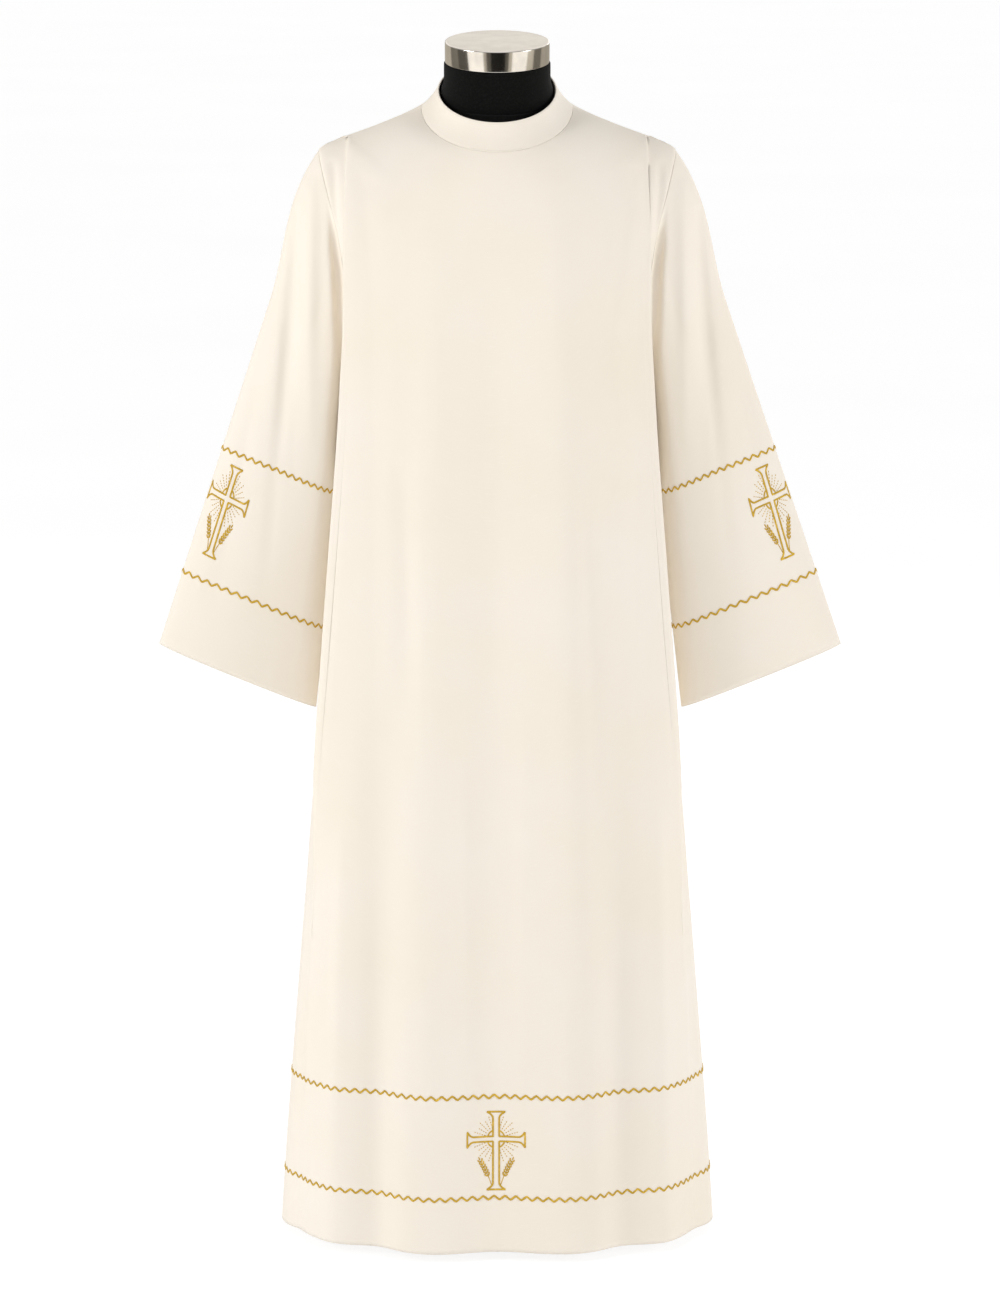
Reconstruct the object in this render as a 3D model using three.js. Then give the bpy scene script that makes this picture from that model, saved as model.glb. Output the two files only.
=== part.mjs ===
// A plain white alb with a stand collar and long sleeves, hung on a limbless dress form.
// Millimetres, +Z up. The front faces -Y, and the origin is the middle of the base's underside.
// Heights of the cloth, the torso and the neck are above the hem, which hangs HEM_HEIGHT over the floor.
import * as THREE from "three";

// Cloth
const WALL = 2; // thickness of the cloth walls
const SEAM_GAP = 0.3; // between two pieces at a seam
const HEM_HEIGHT = 12; // of the hem above the floor
const NECK_SIDE = { x: 95, y: 8, z: 1439 }; // where the collar meets the shoulder seam
const PLEAT_TOP = { x: 187, y: 6, z: 1405 }; // where the pleat starts on the shoulder seam
const SHOULDER_TIP = { x: 225, y: 5, z: 1389 }; // where the shoulder seam meets the armhole
const UNDERARM = { x: 184, y: 5, z: 1130 };

// Collar band, a ring that leans forward
const COLLAR_TOP = { halfWidth: 75, halfDepth: 76, y: -2, z: 1462, slope: 0.48 };
const COLLAR_STEPS = 3;
const COLLAR_LIFT = 0.45; // clears the neckline's edge
const COLLAR_HOLLOW = 2.5; // the band's side curves in this much

// Sleeves end in a flattened cuff between an outer and an inner corner
const CUFF_OUTER = new THREE.Vector3(433, 4, 742);
const CUFF_INNER = new THREE.Vector3(232, 2, 668);
const CUFF_HALF_DEPTH = 24;
const CUFF_SQUARE = 0.8; // under 1 squares the cuff's oval
const SLEEVE_RINGS = 12;
const SLEEVE_HEAD = 11; // how far the sleeve rounds out below the shoulder tip
const SLEEVE_UNDER = 7; // and how far it stands off the body below the underarm
const SLEEVE_BEVEL = 0.006; // share of the sleeve by which its inner edge starts lower

// Dress form
const NECK_TILT = THREE.MathUtils.degToRad(9.7); // the neck leans forward
const NECK_ROOT = { y: 7, z: 1444 };
const NECK_RADIUS = 67;
const NECK_HEIGHT = 53;
const CAP_RADIUS = 65.7;
const CAP_HEIGHT = 27;
const POLE_RADIUS = 16;
const BASE_RADIUS = 125;
const BASE_HEIGHT = 6;

// How finely the panels are cut: rows for each place, columns from the centre to the pleat and beyond it
const SHOULDER_CUTS = 1;
const ARMHOLE_CUTS = 2;
const SKIRT_CUTS = 1;
const FACE_COLUMNS = 12;
const SIDE_COLUMNS = 4;
const EVEN = 0.5; // share by which a row's columns are spaced evenly rather than by angle

// Places down the garment. mid is the centre line, fold the shoulder seam and below it the pleat's edge,
// edge the armhole and below it the side seam. flat squares the row's plan, round the way that it rises.
const PLACE = ["midY", "midZ", "foldX", "foldY", "foldZ", "edgeX", "edgeY", "edgeZ", "flat", "round", "pleat"];
const { x: nx, y: ny, z: nz } = NECK_SIDE;
const { x: px, y: py, z: pz } = PLEAT_TOP;
const { x: tx, y: ty, z: tz } = SHOULDER_TIP;
const { x: ux, y: uy, z: uz } = UNDERARM;
const FRONT = table(PLACE, [
  [-88, 1389, nx, ny, nz, nx, ny, nz, 1.0, 1.0, 0],
  [-95, 1371, 126, 7, 1428, 126, 7, 1428, 1.1, 1.7, 0],
  [-101, 1350, 157, 7, 1416, 157, 7, 1416, 1.2, 2.1, 0],
  [-106, 1328, px, py, pz, tx, ty, tz, 1.3, 2.2, 2],
  [-109, 1310, 187.6, -9, 1401, 224, -8, 1382, 1.35, 2.2, 3],
  [-112, 1290, 188.6, -28, 1386, 220, -25, 1362, 1.45, 2.1, 4],
  [-115, 1266, 189.6, -52, 1351, 212, -42, 1331, 1.6, 2, 6],
  [-117, 1240, 190.6, -67, 1306, 202, -55, 1294, 1.7, 2, 7],
  [-119, 1210, 191.5, -74, 1258, 194, -61, 1250, 1.7, 2, 8],
  [-120, 1176, 191.8, -77, 1208, 188, -57, 1200, 1.7, 2, 9],
  [-121, 1140, 192.5, -78, 1161, 184.5, -37, 1153, 1.7, 2, 9],
  [-122, 1100, 195, -78, 1116, ux, uy, uz, 1.7, 2, 9],
  [-124, 1013, 201, -78, 1020, 183, 5, 1026, 1.7, 2, 9],
  [-127, 893, 211, -77, 893, 189, 4, 893, 1.65, 2, 9],
  [-131, 753, 222, -74, 753, 203, 3, 753, 1.6, 2, 8],
  [-136, 603, 231, -68, 603, 226, 2, 603, 1.55, 2, 5],
  [-144, 438, 239, -62, 438, 247, 1, 438, 1.5, 2, 2],
  [-154, 268, 250, -62, 268, 261, 0, 268, 1.45, 2, 1],
  [-164, 118, 257, -64, 118, 273, 0, 118, 1.4, 2, 1],
  [-172, 0, 262, -65, 0, 281, 0, 0, 1.4, 2, 1],
]);
const BACK = table(PLACE, [
  [82, 1459, nx, ny, nz, nx, ny, nz, 1.0, 1.0, 0],
  [88, 1441, 126, 7, 1428, 126, 7, 1428, 1.1, 1.7, 0],
  [94, 1416, 157, 7, 1416, 157, 7, 1416, 1.2, 2.1, 0],
  [100, 1386, px, py, pz, tx, ty, tz, 1.3, 2.2, 2],
  [104, 1360, 187.6, 21, 1401, 224, 19, 1382, 1.35, 2.2, 3],
  [108, 1330, 188.6, 40, 1386, 220, 36, 1362, 1.45, 2.1, 4],
  [111, 1296, 189.6, 62, 1351, 212, 52, 1331, 1.6, 2, 6],
  [112, 1260, 190.6, 73, 1306, 202, 62, 1294, 1.7, 2, 7],
  [112, 1222, 191.5, 78, 1258, 194, 66, 1250, 1.7, 2, 8],
  [112, 1184, 191.8, 79, 1208, 188, 60, 1200, 1.7, 2, 9],
  [112, 1144, 192.5, 79, 1161, 184.5, 42, 1153, 1.7, 2, 9],
  [112, 1102, 195, 79, 1116, ux, uy, uz, 1.7, 2, 9],
  [112, 1013, 201, 78, 1020, 183, 5, 1026, 1.7, 2, 9],
  [115, 893, 211, 77, 893, 189, 4, 893, 1.65, 2, 9],
  [121, 753, 222, 75, 753, 203, 3, 753, 1.6, 2, 8],
  [129, 603, 231, 70, 603, 226, 2, 603, 1.55, 2, 5],
  [140, 438, 239, 66, 438, 247, 1, 438, 1.5, 2, 2],
  [152, 268, 250, 66, 268, 261, 0, 268, 1.45, 2, 1],
  [164, 118, 257, 68, 118, 273, 0, 118, 1.4, 2, 1],
  [173, 0, 262, 69, 0, 281, 0, 0, 1.4, 2, 1],
]);
const PLEAT_ROW = 3; // the place whose row runs along the shoulder seam from the pleat to its tip
const UNDERARM_ROW = 11;
const HEM_ROW = FRONT.length - 1;
const ROWS = [
  ...places(0, PLEAT_ROW, SHOULDER_CUTS),
  ...places(PLEAT_ROW, UNDERARM_ROW, ARMHOLE_CUTS),
  ...places(UNDERARM_ROW, HEM_ROW, SKIRT_CUTS),
  HEM_ROW,
];
const PLEAT_REACH = 42; // the pleat rises towards its edge over this width
const PLEAT_UNDER = 2.5; // from the pleat's edge to the cloth under it

// The largest folds. top and hem are angles round the body in degrees, 0 in the middle of the panel
// and 90 at its side seam, spread is the half width in degrees, depth is out at the hem, from the start.
const FOLD = ["top", "hem", "spread", "depth", "from"];
const FRONT_FOLDS = table(FOLD, [
  [-24, -18, 11, 15, 1378],
  [23, 20, 12, 14, 1378],
  [0, 0, 10, -9, 1228],
  [-36, -33, 6, -6, 878],
  [37, 34, 7, -7, 958],
  [-48, -46, 7, 8, 738],
  [50, 47, 7, 9, 778],
  [-70, -66, 7, -8, 618],
  [71, 66, 8, -9, 578],
]);
const BACK_FOLDS = table(FOLD, [
  [-8, -4, 8, -6, 1128],
  [-30, -24, 10, 14, 1308],
  [27, 22, 11, 15, 1308],
  [40, 36, 7, -8, 878],
  [-43, -38, 7, -7, 938],
  [-55, -51, 8, 9, 738],
  [53, 49, 8, 8, 738],
  [-70, -66, 7, -8, 618],
  [71, 66, 8, -9, 578],
]);

// Soft folds of a sleeve, each along a straight line seen from the front or back
const SLEEVE_FOLD = ["topX", "topZ", "endX", "endZ", "width", "depth"];
const SLEEVE_FRONT_FOLDS = table(SLEEVE_FOLD, [
  [222, 1348, 208, 988, 9, -11],
  [237, 1348, 246, 988, 8, 6],
  [254, 1318, 276, 978, 9, -6],
]);
const SLEEVE_BACK_FOLDS = table(SLEEVE_FOLD, [
  [220, 1338, 212, 1018, 10, -10],
  [240, 1338, 262, 938, 10, 6],
  [268, 1278, 318, 878, 10, -5],
]);

// The form, from its neck to its lower end. side is its outline from the front.
const FORM_PLACE = ["frontY", "frontZ", "sideX", "sideY", "sideZ", "backY", "backZ", "flat", "round"];
const FORM = table(FORM_PLACE, [
  [-60.5, 1432.4, 67, 7, 1444, 74.5, 1455.6, 1, 1],
  [-70, 1409, 76, 7.5, 1441, 74.5, 1451, 1, 1],
  [-81, 1380, 95, 8, 1436.3, 76, 1448, 1, 1],
  [-88, 1362, 126, 7, 1425.3, 81, 1432, 1.1, 1.6],
  [-94, 1341, 157, 7, 1413.3, 87, 1407, 1.2, 2],
  [-100, 1317, 187, 6, 1402.2, 93, 1377, 1.3, 2],
  [-103, 1296, 207, 5, 1394, 96, 1350, 1.3, 1.9],
  [-105, 1273, 213, 5, 1380, 98, 1323, 1.3, 1.9],
  [-106, 1243, 209, 5, 1348, 99, 1288, 1.3, 1.9],
  [-107, 1208, 194, 5, 1293, 99, 1243, 1.3, 2],
  [-104, 1158, 176, 4, 1198, 97, 1188, 1.3, 2],
  [-98, 1088, 163, 2, 1098, 90, 1098, 1.2, 2],
  [-88, 998, 147, 0, 998, 80, 998, 1.1, 2],
  [-92, 898, 156, 0, 898, 90, 898, 1.1, 2],
  [-99, 798, 171, 0, 798, 102, 798, 1.1, 2],
  [-96, 708, 172, 0, 708, 100, 708, 1.1, 2],
  [-88, 678, 160, 0, 678, 92, 678, 1.1, 2],
]);
const FORM_COLUMNS = 7;

// Places from first up to last, with so many steps for each.
function places(first, last, cuts) {
  return Array.from({ length: (last - first) * cuts }, (_, k) => first + k / cuts);
}

// Reads a table with named columns into one object for each row.
function table(columns, rows) {
  return rows.map((row) => Object.fromEntries(row.map((value, i) => [columns[i], value])));
}

// A smooth value at place r of a table, a cubic through the places from first to last.
function along(rows, column, r, first, last) {
  const i = Math.min(Math.max(Math.floor(r), first), last - 1);
  const t = r - i;
  const at = (k) => rows[Math.min(Math.max(k, first), last)][column];
  const [a, b, c, d] = [at(i - 1), at(i), at(i + 1), at(i + 2)];
  const start = i === first ? c - b : (c - a) / 2;
  const end = i + 1 === last ? c - b : (d - b) / 2;
  const rise = c - b;
  return b + t * (start + t * (3 * rise - 2 * start - end + t * (start + end - 2 * rise)));
}

function point(rows, names, r, first, last) {
  return new THREE.Vector3(...names.map((name) => (name ? along(rows, name, r, first, last) : 0)));
}

// The centre line, the pleat's edge and the armhole or side seam of a panel at place r.
function rowOf(rows, r) {
  const above = r <= PLEAT_ROW;
  const armhole = r <= UNDERARM_ROW;
  const fold = above ? [0, PLEAT_ROW] : [PLEAT_ROW, HEM_ROW];
  const edge = armhole ? [PLEAT_ROW, UNDERARM_ROW] : [UNDERARM_ROW, HEM_ROW];
  return {
    mid: point(rows, [null, "midY", "midZ"], r, 0, HEM_ROW),
    fold: point(rows, ["foldX", "foldY", "foldZ"], r, ...fold),
    edge: point(rows, ["edgeX", "edgeY", "edgeZ"], r, ...edge),
    flat: along(rows, "flat", r, 0, HEM_ROW),
    round: along(rows, "round", r, 0, HEM_ROW),
    pleat: along(rows, "pleat", r, 0, HEM_ROW),
  };
}

// A point of a row between its centre line (t = 0) and its end (t = 1): x follows a sine, depth and
// height a power of the cosine.
function arcPoint(from, to, t, flat, round) {
  const angle = EVEN * Math.asin(t) + ((1 - EVEN) * t * Math.PI) / 2;
  const cosine = Math.max(Math.cos(angle), 0);
  return new THREE.Vector3(
    to.x * Math.sin(angle),
    to.y + (from.y - to.y) * cosine ** flat,
    to.z + (from.z - to.z) * cosine ** round,
  );
}

// A point between the pleat's edge (t = 0) and the armhole or side seam (t = 1).
function sidePoint(row, t) {
  const bend = Math.sin((t * Math.PI) / 2);
  return new THREE.Vector3(
    row.fold.x + (row.edge.x - row.fold.x) * bend,
    row.fold.y + (row.edge.y - row.fold.y) * t,
    row.fold.z + (row.edge.z - row.fold.z) * t,
  );
}

// How far the folds push a point out: each is a bell across its angle that deepens towards the hem.
function foldPush(folds, row, p, side) {
  const angle = side * THREE.MathUtils.radToDeg(Math.atan2(p.x / row.edge.x, p.y / row.mid.y));
  return folds.reduce((sum, f) => {
    const down = THREE.MathUtils.clamp(1 - p.z / f.from, 0, 1);
    const centre = f.top + (f.hem - f.top) * down;
    return sum + f.depth * down ** 0.9 * Math.exp(-(((angle - centre) / f.spread) ** 2));
  }, 0);
}

// Builds a mesh from outer points and quads: the wall's inner side lies WALL under the plain surface,
// and every open edge is closed. raise lifts an outer point, and flattened holds a seam's points in plane.
function wallGeometry(points, quads, { raise = [], flattened = [], lowered = [] } = {}) {
  const normals = points.map(() => new THREE.Vector3());
  for (const [a, b, c, d] of quads) {
    const across = points[c].clone().sub(points[a]);
    const normal = across.cross(points[d].clone().sub(points[b]));
    for (const i of [a, b, c, d]) normals[i].add(normal);
  }
  normals.forEach((n, i) => {
    if (flattened[i]) n[flattened[i]] = 0;
    n.normalize();
  });
  const outer = points.map((p, i) => p.clone().addScaledVector(normals[i], raise[i] ?? 0));
  const inner = points.map((p, i) => (lowered[i] ?? p).clone().addScaledVector(normals[i], -WALL));
  const count = points.length;
  const faces = [];
  const edges = new Set();
  for (const [a, b, c, d] of quads) {
    faces.push(a, b, c, a, c, d);
    faces.push(a + count, c + count, b + count, a + count, d + count, c + count);
    for (const [s, e] of [[a, b], [b, c], [c, d], [d, a]]) edges.add(`${s},${e}`);
  }
  for (const edge of edges) {
    const [s, e] = edge.split(",").map(Number);
    if (!edges.has(`${e},${s}`)) faces.push(e, s, s + count, e, s + count, e + count);
  }
  return geometryOf([...outer, ...inner], faces);
}

function geometryOf(points, faces) {
  const used = [...new Set(faces)];
  const index = new Map(used.map((old, i) => [old, i]));
  const geometry = new THREE.BufferGeometry();
  geometry.setFromPoints(used.map((i) => points[i]));
  geometry.setIndex(faces.map((i) => index.get(i)));
  geometry.computeVertexNormals();
  return geometry;
}

// A front or back panel, or a half of one. facing is -1 for the front and 1 for the back, sides holds
// -1 and 1 for the left and right halves.
function panelGeometry(rows, folds, facing, sides) {
  const points = [];
  const raise = [];
  const flattened = [];
  const ids = new Map();
  const last = FACE_COLUMNS + 1 + SIDE_COLUMNS;
  const halfGap = SEAM_GAP / 2;
  const split = sides.length === 1;

  function add(side, i, j) {
    const column = side * j;
    const key = j === 0 ? `0,${i}` : `${column},${i}`;
    if (ids.has(key)) return ids.get(key);
    const place = ROWS[i];
    const row = rowOf(rows, place);
    const beyond = j - FACE_COLUMNS - 1;
    const under = PLEAT_UNDER / row.fold.distanceTo(row.edge);
    const onFace = j <= FACE_COLUMNS;
    const share = onFace ? j / FACE_COLUMNS : under + (beyond / SIDE_COLUMNS) * (1 - under);
    const p = onFace ? arcPoint(row.mid, row.fold, share, row.flat, row.round) : sidePoint(row, share);
    const onShoulder = place <= PLEAT_ROW && j >= FACE_COLUMNS;
    const onSideSeam = j === last && place >= UNDERARM_ROW;
    const seam = onShoulder || onSideSeam;
    const push = foldPush(folds, row, p, side);
    const outward = new THREE.Vector3(p.x / row.edge.x, p.y / Math.abs(row.mid.y), 0).normalize();
    if (seam) outward.y = 0;
    p.addScaledVector(outward, push);
    const toFold = row.fold.x - p.x;
    const pleated = place >= PLEAT_ROW && onFace;
    const rise = pleated ? row.pleat * Math.max(0, 1 - toFold / PLEAT_REACH) ** 1.5 : 0;
    if (seam) p.y += facing * halfGap;
    p.x *= side;
    if (split && j === 0) p.x = side * halfGap;
    ids.set(key, points.length);
    points.push(p);
    raise.push(rise);
    flattened.push(seam ? "y" : j === 0 ? "x" : undefined);
    return points.length - 1;
  }

  const quads = [];
  for (const side of sides) {
    for (let i = 0; i < ROWS.length - 1; i += 1) {
      const columns = ROWS[i] < PLEAT_ROW ? FACE_COLUMNS : last;
      for (let j = 0; j < columns; j += 1) {
        const quad = [add(side, i, j), add(side, i + 1, j), add(side, i + 1, j + 1), add(side, i, j + 1)];
        quads.push(side * facing < 0 ? quad : quad.reverse());
      }
    }
  }
  return wallGeometry(points, quads, { raise, flattened });
}

// The armhole as a closed loop of points, from the shoulder tip down the front and up the back.
function armholeLoop() {
  const stops = [...places(PLEAT_ROW, UNDERARM_ROW, ARMHOLE_CUTS), UNDERARM_ROW];
  const down = stops.map((place) => rowOf(FRONT, place).edge);
  const up = stops.slice(1, -1).reverse().map((place) => rowOf(BACK, place).edge);
  return [...down, ...up];
}

// The cuff's point at share u of the way round, 0 at its outer corner: a flattened, squared oval.
function cuffPoint(u) {
  const middle = CUFF_OUTER.clone().add(CUFF_INNER).multiplyScalar(0.5);
  const half = CUFF_OUTER.clone().sub(middle);
  const across = Math.cos(2 * Math.PI * u);
  const depth = Math.sin(2 * Math.PI * u);
  middle.addScaledVector(half, Math.sign(across) * Math.abs(across) ** CUFF_SQUARE);
  middle.y -= CUFF_HALF_DEPTH * Math.sign(depth) * Math.abs(depth) ** CUFF_SQUARE;
  return middle;
}

function sleeveFoldPush(folds, p) {
  return folds.reduce((sum, f) => {
    const down = (f.topZ - p.z) / (f.topZ - f.endZ);
    if (down <= 0 || down >= 1) return sum;
    const off = (p.x - f.topX - (f.endX - f.topX) * down) / f.width;
    return sum + f.depth * Math.sin(Math.PI * Math.sqrt(down)) * Math.exp(-off * off);
  }, 0);
}

// Rises at once from 0 to 1 at a third of the way and dies away smoothly at t = 1.
function swell(t) {
  return t < 1 ? 6.75 * t * (1 - t) ** 2 : 0;
}

// A sleeve: straight lines from the armhole to the cuff, rounded out at its head.
function sleevePoint(loop, k, v) {
  const u = k / loop.length;
  const p = loop[k].clone().lerp(cuffPoint(u), v);
  const top = Math.max(0, Math.cos(2 * Math.PI * u));
  p.x += SLEEVE_HEAD * top * swell(v / 0.3);
  const under = Math.max(0, -Math.cos(2 * Math.PI * u));
  p.x += SLEEVE_UNDER * under * Math.sin(Math.PI * Math.min(1, v / 0.4));
  const front = u > 0 && u < 0.5;
  const fade = Math.abs(Math.sin(2 * Math.PI * u)) ** 0.5 * Math.min(1, v / 0.04);
  const push = fade * sleeveFoldPush(front ? SLEEVE_FRONT_FOLDS : SLEEVE_BACK_FOLDS, p);
  p.y += front ? -push : push;
  return p;
}

function sleeveGeometry(side) {
  const loop = armholeLoop();
  const start = (SEAM_GAP * 1.6) / CUFF_OUTER.distanceTo(loop[0]);
  const points = [];
  const lowered = [];
  const quads = [];
  const at = (ring, k) => ring * loop.length + (k % loop.length);
  for (let ring = 0; ring <= SLEEVE_RINGS; ring += 1) {
    const v = start + (1 - start) * (ring / SLEEVE_RINGS) ** 1.25;
    for (let k = 0; k < loop.length; k += 1) {
      const p = sleevePoint(loop, k, v);
      p.x *= side;
      points.push(p);
      if (ring === 0) {
        const low = sleevePoint(loop, k, v + SLEEVE_BEVEL);
        low.x *= side;
        lowered[k] = low;
      }
    }
  }
  for (let ring = 0; ring < SLEEVE_RINGS; ring += 1) {
    for (let k = 0; k < loop.length; k += 1) {
      const quad = [at(ring, k), at(ring + 1, k), at(ring + 1, k + 1), at(ring, k + 1)];
      quads.push(side < 0 ? quad : quad.reverse());
    }
  }
  return wallGeometry(points, quads, { lowered });
}

// The collar band, open at the centre back: from the neckline to a ring that leans forward.
function collarGeometry() {
  const points = [];
  const flattened = [];
  const quads = [];
  const stations = [];
  const add = (rows, side, j) => stations.push({ rows, side, j });
  for (let j = 0; j <= FACE_COLUMNS; j += 1) add(BACK, -1, j);
  for (let j = FACE_COLUMNS - 1; j >= 0; j -= 1) add(FRONT, -1, j);
  for (let j = 1; j <= FACE_COLUMNS; j += 1) add(FRONT, 1, j);
  for (let j = FACE_COLUMNS - 1; j >= 0; j -= 1) add(BACK, 1, j);
  stations.forEach(({ rows, side, j }, k) => {
    const row = rowOf(rows, 0);
    const low = arcPoint(row.mid, row.fold, j / FACE_COLUMNS, row.flat, row.round);
    const angle = Math.atan2(low.x / row.fold.x, (low.y - row.fold.y) / Math.abs(row.mid.y - row.fold.y));
    const y = COLLAR_TOP.y + COLLAR_TOP.halfDepth * Math.cos(angle);
    const high = new THREE.Vector3(
      COLLAR_TOP.halfWidth * Math.sin(angle),
      y,
      COLLAR_TOP.z + COLLAR_TOP.slope * (y - COLLAR_TOP.y),
    );
    low.z += COLLAR_LIFT;
    for (let step = 0; step <= COLLAR_STEPS; step += 1) {
      const t = step / COLLAR_STEPS;
      const p = low.clone().lerp(high, t);
      const hollow = COLLAR_HOLLOW * Math.sin(Math.PI * t);
      p.x -= hollow * Math.sin(angle);
      p.y -= hollow * Math.cos(angle);
      const ends = k === 0 || k === stations.length - 1;
      p.x = ends ? (side * SEAM_GAP) / 2 : p.x * side;
      points.push(p);
      flattened.push(ends ? "x" : undefined);
    }
  });
  const rings = COLLAR_STEPS + 1;
  for (let k = 0; k < stations.length - 1; k += 1) {
    for (let step = 0; step < COLLAR_STEPS; step += 1) {
      const a = k * rings + step;
      quads.push([a, a + rings, a + rings + 1, a + 1]);
    }
  }
  return wallGeometry(points, quads, { flattened });
}

// The torso, a closed ring for each place and a fan at each end.
function torsoGeometry() {
  const last = FORM.length - 1;
  const names = { front: ["frontY", "frontZ"], back: ["backY", "backZ"] };
  const points = [];
  const rings = [];
  for (let i = 0; i <= last; i += 1) {
    const side = point(FORM, ["sideX", "sideY", "sideZ"], i, 0, last);
    const quarter = (which, t) => {
      const mid = point(FORM, [null, ...names[which]], i, 0, last);
      return arcPoint(mid, side, t, FORM[i].flat, FORM[i].round);
    };
    const ring = [];
    const mirrored = (p) => new THREE.Vector3(-p.x, p.y, p.z);
    for (let j = 0; j < FORM_COLUMNS; j += 1) ring.push(quarter("front", j / FORM_COLUMNS));
    for (let j = FORM_COLUMNS; j > 0; j -= 1) ring.push(quarter("back", j / FORM_COLUMNS));
    for (let j = 0; j < FORM_COLUMNS; j += 1) ring.push(mirrored(quarter("back", j / FORM_COLUMNS)));
    for (let j = FORM_COLUMNS; j > 0; j -= 1) ring.push(mirrored(quarter("front", j / FORM_COLUMNS)));
    rings.push(ring.map((p) => points.push(p) - 1));
  }
  const faces = [];
  const around = rings[0].length;
  for (let i = 0; i < last; i += 1) {
    for (let k = 0; k < around; k += 1) {
      const [a, b] = [rings[i][k], rings[i][(k + 1) % around]];
      const [c, d] = [rings[i + 1][(k + 1) % around], rings[i + 1][k]];
      faces.push(a, d, c, a, c, b);
    }
  }
  for (const [ring, turn] of [[rings[0], 1], [rings[last], -1]]) {
    const centre = new THREE.Vector3();
    ring.forEach((id) => centre.addScaledVector(points[id], 1 / around));
    const c = points.push(centre) - 1;
    ring.forEach((id, k) => {
      const next = ring[(k + 1) % around];
      faces.push(...(turn > 0 ? [c, id, next] : [c, next, id]));
    });
  }
  return geometryOf(points, faces);
}

// A turned piece from [radius, height] pairs, standing along +Z.
function turned(profile, segments = 32) {
  const outline = profile.map(([radius, height]) => new THREE.Vector2(radius, height));
  return new THREE.LatheGeometry(outline, segments).rotateX(Math.PI / 2);
}

const cloth = { color: 0xfaf3e6, roughness: 0.85, metalness: 0 };
const felt = { color: 0x10110f, roughness: 0.9, metalness: 0 };
const steel = { color: 0xb9b3a8, roughness: 0.2, metalness: 1 };
const black = { color: 0x1a1a1a, roughness: 0.5, metalness: 0.6 };

function piece(name, geometry, look) {
  const mesh = new THREE.Mesh(geometry, new THREE.MeshStandardMaterial(look));
  mesh.name = name;
  return mesh;
}

const alb = new THREE.Group();
alb.add(
  piece("front", panelGeometry(FRONT, FRONT_FOLDS, -1, [-1, 1]), cloth),
  piece("back_left", panelGeometry(BACK, BACK_FOLDS, 1, [-1]), cloth),
  piece("back_right", panelGeometry(BACK, BACK_FOLDS, 1, [1]), cloth),
  piece("sleeve_left", sleeveGeometry(-1), cloth),
  piece("sleeve_right", sleeveGeometry(1), cloth),
  piece("collar", collarGeometry(), cloth),
);

// The form stands on a pole and a round base, all inside the alb but its neck.
const neckGroup = new THREE.Group();
neckGroup.position.set(0, NECK_ROOT.y, NECK_ROOT.z);
neckGroup.rotation.x = NECK_TILT;
const neck = piece("form_neck", turned([
  [0, SEAM_GAP],
  [NECK_RADIUS, SEAM_GAP],
  [NECK_RADIUS + 0.8, NECK_HEIGHT / 2],
  [NECK_RADIUS, NECK_HEIGHT],
  [0, NECK_HEIGHT],
]), felt);
const cap = piece("form_cap", turned([
  [0, 0],
  [CAP_RADIUS - 1, 0],
  [CAP_RADIUS, 1],
  [CAP_RADIUS, CAP_HEIGHT - 2],
  [CAP_RADIUS - 2, CAP_HEIGHT],
  [0, CAP_HEIGHT],
]), steel);
cap.position.z = NECK_HEIGHT + SEAM_GAP;
neckGroup.add(neck, cap);

const formEnd = FORM[FORM.length - 1].sideZ + HEM_HEIGHT;
const base = piece("form_base", turned([
  [0, 0],
  [BASE_RADIUS, 0],
  [BASE_RADIUS, BASE_HEIGHT - 2],
  [BASE_RADIUS - 2, BASE_HEIGHT],
  [0, BASE_HEIGHT],
], 48), black);
const pole = piece("form_pole", turned([
  [0, BASE_HEIGHT + SEAM_GAP],
  [POLE_RADIUS, BASE_HEIGHT + SEAM_GAP],
  [POLE_RADIUS, formEnd - SEAM_GAP],
  [0, formEnd - SEAM_GAP],
], 24), black);
const foot = new THREE.Group();
foot.add(pole, base);

// All that hangs or stands at the alb's own height
const raised = new THREE.Group();
raised.position.z = HEM_HEIGHT;
raised.add(alb, piece("form_torso", torsoGeometry(), felt), neckGroup);

const group = new THREE.Group();
group.add(raised, foot);

export default group;
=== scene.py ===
"""A plain white alb with gold embroidery on a limbless dress form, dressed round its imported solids.

Lengths in the tables are millimetres and heights in them are above the alb's hem, as the cloth was cut.
The settings are metres. The front faces -Y and +X is on the right of someone who looks at the front.
"""
import functools
import math

import bmesh
import bpy
import numpy as np
from bpy.props import FloatProperty, FloatVectorProperty, PointerProperty
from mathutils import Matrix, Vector


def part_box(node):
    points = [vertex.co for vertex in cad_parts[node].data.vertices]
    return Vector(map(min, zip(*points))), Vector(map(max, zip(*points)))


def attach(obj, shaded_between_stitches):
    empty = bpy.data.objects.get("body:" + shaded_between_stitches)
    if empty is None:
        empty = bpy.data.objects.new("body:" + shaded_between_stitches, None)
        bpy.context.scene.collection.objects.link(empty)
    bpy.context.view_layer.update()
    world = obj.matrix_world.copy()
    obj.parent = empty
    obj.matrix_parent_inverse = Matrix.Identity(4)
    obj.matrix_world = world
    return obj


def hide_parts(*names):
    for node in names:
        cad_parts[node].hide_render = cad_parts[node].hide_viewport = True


bl_info = {
    "name": "Alb on dress form",
    "version": (1, 0, 0),
    "blender": (4, 5, 0),
    "location": "3D View > Sidebar > Alb",
    "description": "Cloth, embroidery, seams and stand of a white alb on a dress form",
    "category": "Object",
}

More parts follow.
